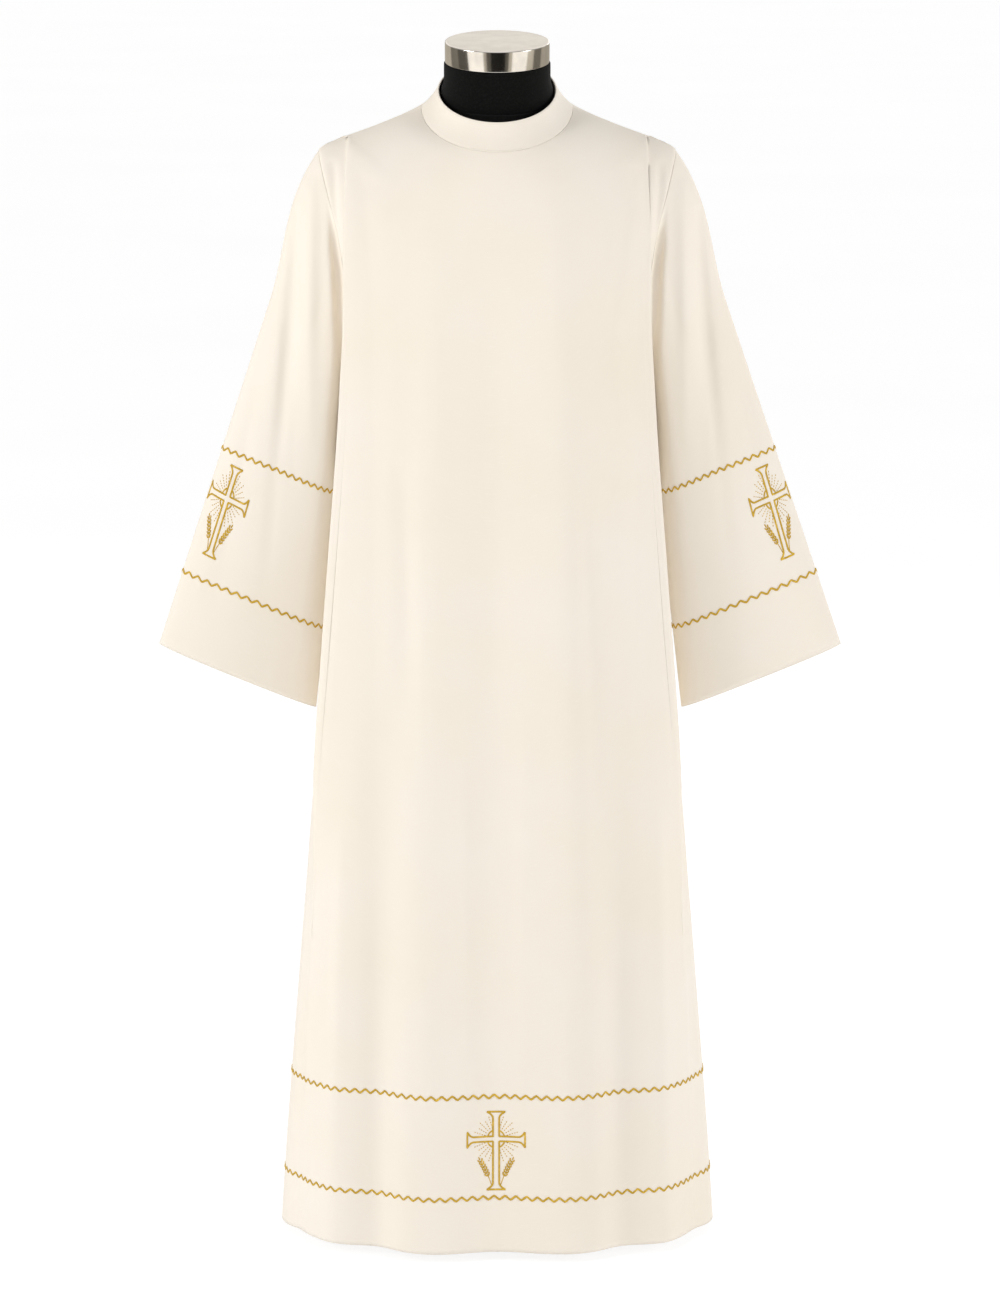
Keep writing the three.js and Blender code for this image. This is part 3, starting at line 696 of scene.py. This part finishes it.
@once("Ivory cloth")
def cloth_material(s):
    """Ivory plain weave: fine threads each way, slubs, a faint cloudiness and a soft sheen."""
    base = tuple(colours().cloth)
    cloud = s.noise("Object", 5.0, 3.0)
    clouded = s.mix(base, times(base, (0.985, 0.965, 0.93)), None, s.band(cloud, 0.35, 0.75))
    slub = s.noise("UV", 900.0, 2.0, stretch=(0.06, 1, 1))
    s.mix(clouded, times(base, 1.03), "Base Color", s.band(slub, 0.6, 0.8))
    warp, weft = s.wave(380.0, "X"), s.wave(380.0, "Y")
    crimp = s.noise("Object", 60.0, 4.0)
    s.bump((crimp, 0.06, 0.002), (slub, 0.12, 0.0002), (warp, 0.18, 0.0002), (weft, 0.18, 0.0002))
    s.set(Roughness=0.82, Sheen_Weight=0.18, Sheen_Roughness=0.45, Specular_IOR_Level=0.25)
    s.set(Sheen_Tint=(1.0, 0.97, 0.92, 1))


@once("Gold thread")
def gold_material(s):
    """Gold embroidery thread: satin stitches across each line, with painted shade in the grooves between them
    and bright on their backs.
    """
    base = tuple(colours().gold)
    stitch = s.wave(400.0, "X")
    patch = s.noise("Object", 160.0, 2.0)
    # painted shade: the gold is darkened in the grooves between the satin stitches
    shaded_between_stitches = s.mix(times(base, (0.75, 0.66, 0.5)), base, None, s.band(stitch, 0.0, 0.6))
    s.mix(shaded_between_stitches, times(base, 1.25), "Base Color", s.band(patch, 0.5, 0.75))
    s.bump((stitch, 0.5, 0.0003))
    s.set(Roughness=0.5, Metallic=0.15, Sheen_Weight=0.05, Specular_IOR_Level=0.3)


@once("Sewing thread")
def sewing_material(s):
    """Ivory sewing thread with its two plies twisted, and painted shade in the grooves between the plies."""
    base = times(colours().cloth, (0.9, 0.88, 0.84))
    twist = s.wave(700.0, "DIAGONAL")
    # painted shade: the thread is darkened in the grooves of its twist
    s.mix(base, times(base, 0.8), "Base Color", twist.outputs["Fac"])
    s.bump((twist, 0.4, 0.0002))
    s.set(Roughness=0.55, Sheen_Weight=0.2)


@once("Black knit cover")
def cover_material(s):
    """Black close-knit cover of the form: fine wales, a few pale fibres and a faint bloom."""
    base = tuple(colours().form_cover)
    fibre = s.noise("Object", 420.0, 4.0, 0.7)
    lint = s.noise("Object", 1400.0, 1.0)
    worn = s.mix(base, tuple(c * 2.4 + 0.004 for c in base), None, s.band(fibre, 0.45, 0.8))
    s.mix(worn, (0.03, 0.029, 0.026), "Base Color", s.band(lint, 0.74, 0.86))
    s.bump((fibre, 0.25, 0.0004), (lint, 0.1, 0.0002))
    s.set(Roughness=0.95, Sheen_Weight=0.03, Sheen_Roughness=0.6, Specular_IOR_Level=0.08)


def metal_material(name, colour, low, high):
    """Metal with fine turning marks, its roughness between low and high in faint smears."""
    s = Shader(name)
    smear = s.noise("Object", 45.0, 4.0, 0.6)
    marks = s.noise("Object", 900.0, 2.0)
    rough = s.node("MapRange", {"To Min": low, "To Max": high})
    s.link(smear, "Fac", rough, "Value")
    s.link(rough, "Result", s.skin, "Roughness")
    s.mix(colour, times(colour, 0.92), "Base Color", s.band(smear, 0.4, 0.7))
    s.bump((marks, 0.05, 0.0002))
    s.set(Metallic=1.0)
    return s.material


@once("Black powder coat")
def powder_material(s):
    """Black powder coat with its fine orange peel."""
    peel = s.noise("Object", 700.0, 2.0)
    rubbed = s.noise("Object", 12.0, 4.0)
    s.mix((0.02, 0.02, 0.02), (0.05, 0.05, 0.048), "Base Color", s.band(rubbed, 0.45, 0.8))
    s.bump((peel, 0.2, 0.0003))
    s.set(Roughness=0.5, Metallic=0.2)


# Surfaces that embroidery and sewing lie on


def sample(grid, row, column):
    """A grid's value at fractional rows and columns, mixed from the four places round each."""
    i = np.clip(np.floor(row).astype(int), 0, grid.shape[0] - 2)
    j = np.clip(np.floor(column).astype(int), 0, grid.shape[1] - 2)
    a, b = (row - i)[..., None], (column - j)[..., None]
    upper = grid[i, j] * (1 - b) + grid[i, j + 1] * b
    lower = grid[i + 1, j] * (1 - b) + grid[i + 1, j + 1] * b
    return upper * (1 - a) + lower * a


def running(points):
    """Distance along a row of points from its first one."""
    return np.append(0, np.cumsum(length(np.diff(points, axis=0))))


def part_way(stops, gone, path):
    """Places at distances along a path whose own points lie at the distances gone."""
    return np.stack([np.interp(stops, gone, column) for column in path.T], -1)


def laid_on(grid, turn, away, centre, row_at):
    """A grid as a function of the distance round from its column centre and the height. Also returns how
    far it goes round each way."""
    out = normals_of(grid, turn)
    centre = away[centre]

    def place(around, height):
        column = np.interp(around + centre, away, np.arange(len(away)))
        row = row_at(column, height)
        return sample(grid, row, column), unit(sample(out, row, column))

    return place, -centre, away[-1] - centre


def skirt_surface():
    """The cloth all round below the pleats, to the right of the front's centre and above the hem."""
    backs, fronts = ([half_panel(name, side)[0] for side in (-1, 1)] for name in ("back", "front"))
    ring = [backs[0], fronts[0][:, ::-1], fronts[1][:, 1:], backs[1][:, ::-1]]
    grid = np.concatenate(ring, axis=1)[places() >= SKIRT_TOP_ROW]
    front_middle = backs[0].shape[1] + fronts[0].shape[1] - 1
    heights = grid[:, front_middle, 2]
    away = running(grid[np.argmin(np.abs(heights - MEASURED_HEIGHT))])

    def row_at(column, height):
        return np.interp(-height, -heights, np.arange(len(grid)))

    return laid_on(grid, -1, away, front_middle, row_at)


def sleeve_surface(side):
    """A sleeve, from its outer edge to the front and up from the cuff."""
    grid, v, line = sleeve_grid(side)
    away = running(grid[int(SLEEVE_RINGS * MEASURED_SHARE)])

    def row_at(column, height):
        lengths = np.interp(column, np.arange(len(line)), line)
        return np.interp(1 - height / lengths, v, np.arange(len(v)))

    return laid_on(grid, side, away, SLEEVE_COLUMNS // 2, row_at)


STITCH_SIDES = 8
STITCH = 2.6  # length of a sewing stitch
STITCH_HALF = 0.28  # and half its thread's width


def stitched(name, strokes, material):
    """One mesh of raised stitching. Each stroke is a path of flat places on a surface, its half width and
    height: an oval carried along it, sunk a little into the cloth, and narrowed to its ends if it's open."""
    points, faces, uvs, count = [], [], [], 0
    around = np.linspace(0, 2 * np.pi, STITCH_SIDES, endpoint=False)
    for place, path, half, height, closed in strokes:
        path = np.asarray(path, float)
        steps = len(path)
        ahead = np.roll(path, -1, 0) - np.roll(path, 1, 0) if closed else np.gradient(path, axis=0)
        ahead = unit(ahead)
        across = np.stack([-ahead[:, 1], ahead[:, 0]], -1)
        gone = running(path)
        ends = np.minimum(gone, gone[-1] - gone) / max(half * 1.4, 0.01)
        narrow = np.ones(steps) if closed else np.sqrt(1 - (1 - np.clip(ends, 0.02, 1)) ** 2)
        wide = (half * narrow)[:, None] * np.cos(around)
        spot = path[:, None] + across[:, None] * wide[..., None]
        on, out = place(spot[..., 0], spot[..., 1])
        lift = (height * narrow)[:, None] * (0.25 + np.sin(around))
        points.append((on + out * lift[..., None]).reshape(-1, 3))
        rows = steps + 1 if closed else steps
        quads = grid_faces(rows, STITCH_SIDES, wrap=True).reshape(-1, 4) % (steps * STITCH_SIDES)
        faces.extend((quads + count).tolist())
        if not closed:
            first = np.arange(STITCH_SIDES)
            faces.append((first + count).tolist())
            faces.append((first[::-1] + count + (steps - 1) * STITCH_SIDES).tolist())
        uvs.append(np.stack(np.broadcast_arrays(gone[:, None] * MM, around / 1000), -1).reshape(-1, 2))
        count += steps * STITCH_SIDES
    thing = new_object(name, to_world(np.concatenate(points)), faces, np.concatenate(uvs))
    face_outwards(thing.data)
    finished(thing, material)


def gold_line(place, start, end, height, level=0.0):
    """A closed zigzag with rounded corners round a surface, at a height above its edge. With a level it
    lies that share lower at the middle of its way round and higher at its ends."""
    s = sizes()
    period, tall = s.zigzag_period / MM, s.zigzag_height / MM
    waves = round((end - start) / period)
    t = np.linspace(0, waves, waves * 16, endpoint=False)
    swing = np.arcsin(0.93 * np.sin(2 * np.pi * t)) / math.asin(0.93)
    around = start + (end - start) * t / waves
    lean = 1 + level * (2 * np.abs(around) / max(-start, end) - 1)
    path = np.stack([around, height * lean + swing * (tall - 2) / 2], -1)
    return place, path, s.zigzag_thread / MM / 2, 0.8, True


# The emblem: a flared cross with rays and two ears of wheat, about 100 by 77, up from its centre

CROSS_CENTRE = 15.0
ARM = table("length half end", [
    [35, 4.0, 12.0],
    [38, 3.2, 10.0],
    [65, 4.0, 12.0],
    [38, 3.2, 10.0],
])  # top, right, bottom and left: length from the crossing, half width and half width of the flared end
ARM_FLARE = 9.0  # length of the flare


def turn_by(angle):
    """The matrix that turns flat places to the left by an angle, for rows of places on its left."""
    return np.array([[math.cos(angle), math.sin(angle)], [-math.sin(angle), math.cos(angle)]])


def resampled(path, step):
    """A path with points at even steps along it."""
    path = np.asarray(path, float)
    gone = running(path)
    stops = np.linspace(0, gone[-1], max(3, int(gone[-1] / step) + 1))
    return part_way(stops, gone, path)


def cross_outline():
    """A closed outline of the flared cross: four arms whose sides curve out to their ends."""
    outline = []
    for k in range(4):
        far, half, end = (ARM[c][k] for c in ("length", "half", "end"))
        start = ARM["half"][(k + 1) % 4]
        t = np.linspace(0, 1, 9)
        out = np.concatenate([[start], far - ARM_FLARE * (1 - t)])
        wide = np.concatenate([[half], half + (end - half) * t**2.2])
        one = np.stack([np.concatenate([-wide, wide[::-1]]), np.concatenate([out, out[::-1]])], -1)
        outline.append(one @ turn_by(-np.pi / 2 * k))
    path = np.concatenate(outline)
    return np.concatenate([path, path[:1]]) + [0, CROSS_CENTRE]


def towards(angle):
    return np.array([math.cos(angle), math.sin(angle)])


def emblem_strokes():
    """The emblem's lines in its own flat frame: path, half width, height and whether it's closed."""
    strokes = [(resampled(cross_outline(), 0.8)[:-1], 1.2, 0.55, True)]
    centre = np.array([0, CROSS_CENTRE])
    for quarter in range(4):
        middle = np.pi / 4 + quarter * np.pi / 2
        arc = middle + np.linspace(-0.42, 0.42, 14)
        ring = centre + 11.5 * np.stack([np.cos(arc), np.sin(arc)], -1)
        strokes.append((ring, 1.0, 0.5, False))
        for k, turn in enumerate((-0.46, -0.23, 0.0, 0.23, 0.46)):
            way = towards(middle + turn)
            for near in np.arange(14.5, 31 if k % 2 == 0 else 26, 3.4):
                dash = centre + way * np.linspace(near, near + 2.2, 6)[:, None]
                strokes.append((dash, 0.55, 0.35, False))
    for lean in (-1, 1):
        t = np.linspace(0, 1, 16)
        stem = np.stack([lean * (6 + 15 * t**1.3), -45 + 33 * t], -1)
        strokes.append((stem, 0.5, 0.4, False))
        for k in range(6):
            share = 0.36 + 0.11 * k
            foot = part_way(share, t, stem)
            for leaf in (-1, 1):
                way = towards(math.pi / 2 - lean * 0.42 - leaf * 0.55)
                bow = np.array([-way[1], way[0]]) * 0.5 * leaf
                s = np.linspace(0, 1, 8)[:, None]
                grain = foot + way * (0.7 + 5.4 * s) - bow * np.sin(np.pi * s)
                strokes.append((grain, 0.95, 0.6, False))
        tip = stem[-1] + np.linspace(0, 1, 6)[:, None] * [lean * 1.9, 4.6]
        strokes.append((tip, 0.8, 0.55, False))
    return strokes


# Each emblem's place round and above the edge, its share of the width and height, and its turn
HEM_EMBLEM = (-1.5, 130.5, 0.98, 1.0, 0.0)
SLEEVE_EMBLEM = (39, 193, 0.82, 1.2, 0.02)


def emblem_on(place, around, height, wide, tall, turn):
    """The emblem's strokes laid on a surface round a place, made wider and taller, and turned."""
    laid = []
    for path, half, lift, closed in emblem_strokes():
        flat = (path * [wide, tall]) @ turn_by(turn) + [around, height]
        laid.append((place, flat, half * (abs(wide) + tall) / 2, lift, closed))
    return laid


# Turned pieces of the form


NECK_TILT = math.radians(9.7)
NECK_ROOT = np.array([0.0, 7.0, 1444.0])
TURNED_SIDES = 128
NECK_PROFILE = [
    [66.2, 0.4], [67, 1.2], [68.6, 8], [70.2, 14], [70.4, 19], [68.8, 24],
    [67.4, 29], [67, 36], [67, 45], [66.9, 52], [66.4, 53],
]
CAP = (65.7, 53.3, 80.3, 1.6)  # radius, underside, top and how far its edges are rounded


def turned(name, profile, material, slot, node):
    """A solid turned about the neck's axis from radius and height pairs, then tilted with the neck."""
    profile = np.asarray(profile, float)
    angle = np.linspace(0, 2 * np.pi, TURNED_SIDES, endpoint=False)
    ring = np.stack([
        profile[:, 0, None] * np.cos(angle),
        profile[:, 0, None] * np.sin(angle),
        np.broadcast_to(profile[:, 1, None], (len(profile), TURNED_SIDES)),
    ], -1)
    cos, sin = math.cos(NECK_TILT), math.sin(NECK_TILT)
    tilted = ring @ np.array([[1, 0, 0], [0, cos, sin], [0, -sin, cos]]) + NECK_ROOT
    faces = grid_faces(len(profile), TURNED_SIDES, turned=True, wrap=True).reshape(-1, 4).tolist()
    faces.append(list(range(TURNED_SIDES))[::-1])
    last = (len(profile) - 1) * TURNED_SIDES
    faces.append(list(range(last, last + TURNED_SIDES)))
    made = new_object(name, to_world(tilted), faces)
    face_outwards(made.data)
    return finished(made, material, node)


def rounded(radius, low, high, bevel, steps=6):
    """The profile of a disc with both its edges rounded, from its underside's middle ring to its top's."""
    t = np.linspace(0, np.pi / 2, steps)
    under = np.stack([radius - bevel + bevel * np.sin(t), low + bevel - bevel * np.cos(t)], -1)
    over = np.stack([radius - bevel + bevel * np.cos(t), high - bevel + bevel * np.sin(t)], -1)
    return np.concatenate([under, over])


# Settings


def metres(name, description, default):
    return FloatProperty(name=name, description=description, default=default, unit="LENGTH", precision=4)


def tint(name, description, default):
    return FloatVectorProperty(
        name=name, description=description, default=default, subtype="COLOR", size=3, min=0, max=1
    )


class AlbSizes(bpy.types.PropertyGroup):
    cloth_thickness: metres("Cloth", "Thickness of the cloth", 0.0006)
    collar_thickness: metres("Collar", "Thickness of the collar band", 0.0016)
    hem_line_low: metres("Lower hem line", "Height of the lower gold line above the hem", 0.070)
    hem_line_high: metres("Upper hem line", "Height of the upper gold line above the hem", 0.200)
    sleeve_line_low: metres("Lower sleeve line", "Distance of the lower gold line from the cuff", 0.103)
    sleeve_line_high: metres("Upper sleeve line", "Distance of the upper gold line from the cuff", 0.275)
    zigzag_period: metres("Zigzag period", "Length of one zigzag", 0.0138)
    zigzag_height: metres("Zigzag height", "Overall height of a zigzag", 0.0068)
    zigzag_thread: metres("Zigzag width", "Width of the satin stitch", 0.0026)


class AlbColours(bpy.types.PropertyGroup):
    cloth: tint("Cloth", "Colour of the ivory cloth", (0.87, 0.805, 0.712))
    gold: tint("Gold", "Colour of the gold thread", (0.62, 0.40, 0.035))
    form_cover: tint("Form", "Colour of the form's knit cover", (0.0019, 0.0019, 0.0017))
    cap: tint("Cap", "Colour of the neck cap's metal", (0.78, 0.74, 0.68))


# Pieces

SIDES = {-1: "left", 1: "right"}


def panel_quads(points, r, middle, turned=False):
    """The quads of a panel whose centre line is the column middle: its rows above the pleat's top stop at
    the shoulder seam."""
    quads = grid_faces(points.shape[0], points.shape[1], turned)
    above = r[:-1] < PLEAT_ROW - 1e-6
    column = np.abs(np.arange(points.shape[1] - 1) + 0.5 - middle)
    return quads[~(above[:, None] & (column > FACE_COLUMNS + PLEAT_COLUMNS - 1))]


class ALB_OT_front(bpy.types.Operator):
    """Adds the front panel with its two pleats"""

    bl_idname = "alb.front"
    bl_label = "Front"

    def execute(self, context):
        left, r = half_panel("front", -1)
        right, r = half_panel("front", 1)
        centre = (left[:, :1] + right[:, :1]) / 2
        points = np.concatenate([left[:, :0:-1], centre, right[:, 1:]], axis=1)
        quads = panel_quads(points, r, points.shape[1] // 2)
        cloth_piece("front", points, quads, sizes().cloth_thickness)
        return {"FINISHED"}


class ALB_OT_backs(bpy.types.Operator):
    """Adds the two back panels, which meet in a seam down the middle"""

    bl_idname = "alb.backs"
    bl_label = "Backs"

    def execute(self, context):
        for side, word in SIDES.items():
            points, r = half_panel("back", side)
            dip = SEAM_DIP * bell(points[..., 0] / SEAM_REACH)
            dip[:, FACE_COLUMNS:] = 0
            points = points - normals_of(points, side) * dip[..., None]
            points[:, 0, 0] = side * SEAM_GAP / 2
            quads = panel_quads(points, r, 0, side > 0)
            cloth_piece("back_" + word, points, quads, sizes().cloth_thickness)
        return {"FINISHED"}


class ALB_OT_sleeves(bpy.types.Operator):
    """Adds both sleeves"""

    bl_idname = "alb.sleeves"
    bl_label = "Sleeves"

    def execute(self, context):
        for side, word in SIDES.items():
            points = sleeve_grid(side)[0][:, :-1]
            quads = grid_faces(points.shape[0], points.shape[1], turned=side > 0, wrap=True)
            cloth_piece("sleeve_" + word, points, quads, sizes().cloth_thickness)
        return {"FINISHED"}


class ALB_OT_collar(bpy.types.Operator):
    """Adds the collar band"""

    bl_idname = "alb.collar"
    bl_label = "Collar"

    def execute(self, context):
        points = collar_grid()
        quads = grid_faces(points.shape[0], points.shape[1], turned=True)
        cloth_piece("collar", points, quads, sizes().collar_thickness)
        return {"FINISHED"}


class ALB_OT_gold_lines(bpy.types.Operator):
    """Adds the gold zigzag lines round the skirt and the sleeves"""

    bl_idname = "alb.gold_lines"
    bl_label = "Gold lines"

    def execute(self, context):
        s = sizes()
        skirt, start, end = skirt_surface()
        for word, height in (("lower", s.hem_line_low), ("upper", s.hem_line_high)):
            line = gold_line(skirt, start, end, height / MM)
            stitched("gold_hem_line_" + word, [line], gold_material())
        for side, word in SIDES.items():
            sleeve, start, end = sleeve_surface(side)
            heights = (s.sleeve_line_low / MM, s.sleeve_line_high / MM)
            lines = [gold_line(sleeve, start, end, h, LINE_LEVEL) for h in heights]
            stitched("gold_sleeve_lines_" + word, lines, gold_material())
        return {"FINISHED"}


class ALB_OT_emblems(bpy.types.Operator):
    """Adds the embroidered emblem on the skirt and one on each sleeve"""

    bl_idname = "alb.emblems"
    bl_label = "Emblems"

    def execute(self, context):
        skirt, _, _ = skirt_surface()
        laid = emblem_on(skirt, *HEM_EMBLEM)
        stitched("emblem_hem", laid, gold_material())
        for side, word in SIDES.items():
            sleeve, _, _ = sleeve_surface(side)
            around, height, wide, tall, turn = SLEEVE_EMBLEM
            laid = emblem_on(sleeve, around, height, -side * wide, tall, side * turn)
            stitched("emblem_sleeve_" + word, laid, gold_material())
        return {"FINISHED"}


def seam_strip(line, out):
    """A strip beside a seam, as a function of the distance along it and the distance to one side."""
    gone = running(line)
    beside = unit(np.cross(out, unit(np.gradient(line, axis=0))))

    def place(along_it, off):
        on, aside, up = (part_way(along_it, gone, values) for values in (line, beside, out))
        return on + aside * off[..., None], unit(up)

    return place, gone[-1]


def sewn(line, out, off, start=0.0, end=1.0):
    """Stitches beside a seam, between two shares of its length, as strokes."""
    place, long = seam_strip(line, out)
    strokes = []
    for near in np.arange(start * long + 1, end * long - STITCH, STITCH * 1.35):
        path = np.column_stack([np.linspace(near, near + STITCH, 5), np.full(5, off)])
        strokes.append((place, path, STITCH_HALF, STITCH_HALF, False))
    return strokes


class ALB_OT_sewing(bpy.types.Operator):
    """Adds the stitches beside the armholes, the back seam and the front of the collar"""

    bl_idname = "alb.sewing"
    bl_label = "Sewing"

    def execute(self, context):
        strokes = []
        for name, facing in (("front", -1), ("back", 1)):
            for side in SIDES:
                grid, r = half_panel(name, side)
                out = normals_of(grid, facing * side)
                hole = (r >= PLEAT_ROW + 0.1) & (r <= UNDERARM_ROW)
                strokes += sewn(grid[hole, -3], out[hole, -3], 0)
                if name == "back":
                    strokes += sewn(grid[:, 0], out[:, 2], 2.2 * side)
        collar = collar_grid()
        out = normals_of(collar)
        strokes += sewn(collar[1], out[1], 0, 0.44, 0.56)
        stitched("sewing", strokes, sewing_material())
        return {"FINISHED"}


class ALB_OT_form(bpy.types.Operator):
    """Adds the form's neck and metal cap, and finishes its torso, pole and base"""

    bl_idname = "alb.form"
    bl_label = "Dress form"

    def execute(self, context):
        turned("form_neck_cover", NECK_PROFILE, cover_material(), "form_cover", "form_neck")
        rim = rounded(*CAP)
        polished = metal_material("Polished rim", tuple(colours().cap), 0.09, 0.16)
        made = turned("form_neck_cap", rim, polished, "cap_metal", "form_cap")
        satin = metal_material("Satin top", times(colours().cap, 0.97), 0.42, 0.55)
        made.data.materials.append(satin)
        made.data.polygons[-1].material_index = 1
        cover, powder = cover_material(), powder_material()
        for node, material in (("form_torso", cover), ("form_pole", powder), ("form_base", powder)):
            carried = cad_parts[node]
            carried.data.materials.clear()
            carried.data.materials.append(material)
        return {"FINISHED"}


# Grey cards round the neck that only its polished metal mirrors: degrees round from the camera's direction,
# to the right positive, and how bright each is. HIGH_CARD stands above them, for the cap's top.
CARD_HEIGHTS = (0.02, 1.75)
CARD_CIRCLE = 2.0
CARDS = (
    (-180, -122, 0.56),
    (-122, -96, 0.22),
    (-96, -68, 0.107),
    (-68, -31, 1.3),
    (-31, -24, 0.5),
    (-24, -14, 0.12),
    (-14, 18, 0.014),
    (18, 26, 0.12),
    (26, 34, 0.58),
    (34, 70, 1.25),
    (70, 88, 0.62),
    (88, 112, 0.18),
    (112, 180, 0.45),
)
HIGH_CARD = (120, 240, 1.15)
HIGH_CARD_HEIGHTS = (2.1, 5.0)


def glossy_card(name, start, end, grey, heights):
    """A curved card on a circle round the neck, seen only in mirrored light."""
    turn = np.radians(np.linspace(start, end, 12))
    ring = CARD_CIRCLE * np.stack([np.sin(turn), -np.cos(turn)], -1)
    points = np.concatenate([np.column_stack([ring, np.full(12, z)]) for z in heights])
    card = new_object(name, points, grid_faces(2, 12).reshape(-1, 4).tolist())
    s = Shader(f"Grey {name}")
    cloud = s.noise("Object", 1.5, 1.0)
    warm = (grey, grey * 0.92, grey * 0.78) if grey < 1 else (grey, grey * 0.97, grey * 0.92)
    s.mix(warm, tuple(c * 0.85 for c in warm), "Emission Color", s.band(cloud, 0.3, 0.7))
    s.set(Roughness=1.0, Specular_IOR_Level=0.0, Emission_Strength=1.0, Base_Color=(0, 0, 0, 1))
    card.data.materials.append(s.material)
    card.visible_camera = card.visible_diffuse = card.visible_shadow = False


# Lights: place, width and watts
LIGHTS = {
    "key": ((-4.6, -2.3, 2.6), 2.0, 130.0),
    "fill": ((4.8, -2.0, 2.0), 2.2, 92.0),
    "top": ((0.0, -0.6, 4.6), 2.5, 12.0),
    "back": ((1.8, 4.4, 2.6), 2.6, 50.0),
}
LIGHTS_AIM = (0, 0, 0.8)
CAMERA_PLACE = (0.0035, -6.115, 1.788)
CAMERA_AIM = (0.0035, 0, 0.765)
FLOOR_REACH = 120.0


def aimed(name, data, spot, aim):
    """Puts a light or camera at a place, turned to look at another."""
    made = bpy.data.objects.new(name, data)
    made.location = spot
    made.rotation_mode = "QUATERNION"
    made.rotation_quaternion = (Vector(aim) - Vector(spot)).to_track_quat("-Z", "Y")
    bpy.context.scene.collection.objects.link(made)
    return made


class ALB_OT_stage(bpy.types.Operator):
    """Adds the pale floor, the soft lights and the camera"""

    bl_idname = "alb.stage"
    bl_label = "Stage"

    def execute(self, context):
        scene = context.scene
        t = np.linspace(-FLOOR_REACH, FLOOR_REACH, 9)
        x, y = np.meshgrid(t, t)
        points = np.stack([x, y, np.zeros(x.shape)], -1).reshape(-1, 3)
        floor = new_object("floor", points, grid_faces(9, 9, turned=True).reshape(-1, 4).tolist())
        s = Shader("Pale floor")
        haze = s.noise("Object", 0.6, 2.0)
        s.mix((0.27, 0.27, 0.27), (0.24, 0.24, 0.24), "Base Color", s.band(haze, 0.3, 0.8))
        s.set(Roughness=0.9, Specular_IOR_Level=0.1, Emission_Strength=0.86, Emission_Color=(1, 1, 1, 1))
        floor.data.materials.append(s.material)
        for k, card in enumerate(CARDS):
            glossy_card(f"card_{k}", *card, CARD_HEIGHTS)
        glossy_card(f"card_{len(CARDS)}", *HIGH_CARD, HIGH_CARD_HEIGHTS)

        scene.world = bpy.data.worlds.new("Studio")
        scene.world.use_nodes = True
        sky = scene.world.node_tree.nodes["Background"].inputs
        sky["Color"].default_value = (1, 1, 1, 1)
        sky["Strength"].default_value = 0.45
        for name, (spot, size, power) in LIGHTS.items():
            light = bpy.data.lights.new(name, "AREA")
            light.shape = "DISK"
            light.size = size
            light.energy = power
            aimed(name, light, spot, LIGHTS_AIM)
        lens = bpy.data.cameras.new("camera")
        lens.lens = 134.87
        lens.sensor_width = 36
        lens.clip_end = 400
        scene.camera = aimed("camera", lens, CAMERA_PLACE, CAMERA_AIM)
        scene.view_settings.view_transform = "Standard"
        return {"FINISHED"}


OPERATORS = (
    ALB_OT_front,
    ALB_OT_backs,
    ALB_OT_sleeves,
    ALB_OT_collar,
    ALB_OT_gold_lines,
    ALB_OT_emblems,
    ALB_OT_sewing,
    ALB_OT_form,
    ALB_OT_stage,
)


class ALB_PT_pieces(bpy.types.Panel):
    bl_idname = "ALB_PT_pieces"
    bl_label = "Alb on dress form"
    bl_space_type = "VIEW_3D"
    bl_region_type = "UI"
    bl_category = "Alb"

    def draw(self, context):
        for group in (context.scene.alb_sizes, context.scene.alb_colours):
            for name in type(group).__annotations__:
                self.layout.prop(group, name)
        for operator in OPERATORS:
            self.layout.operator(operator.bl_idname)


CLASSES = (AlbSizes, AlbColours, *OPERATORS, ALB_PT_pieces)


def register():
    for cls in CLASSES:
        bpy.utils.register_class(cls)
    bpy.types.Scene.alb_sizes = PointerProperty(type=AlbSizes)
    bpy.types.Scene.alb_colours = PointerProperty(type=AlbColours)


def unregister():
    del bpy.types.Scene.alb_colours
    del bpy.types.Scene.alb_sizes
    for cls in reversed(CLASSES):
        bpy.utils.unregister_class(cls)


def main():
    register()
    for operator in OPERATORS:
        group, name = operator.bl_idname.split(".")
        getattr(getattr(bpy.ops, group), name)()


if __name__ == "__main__":
    main()
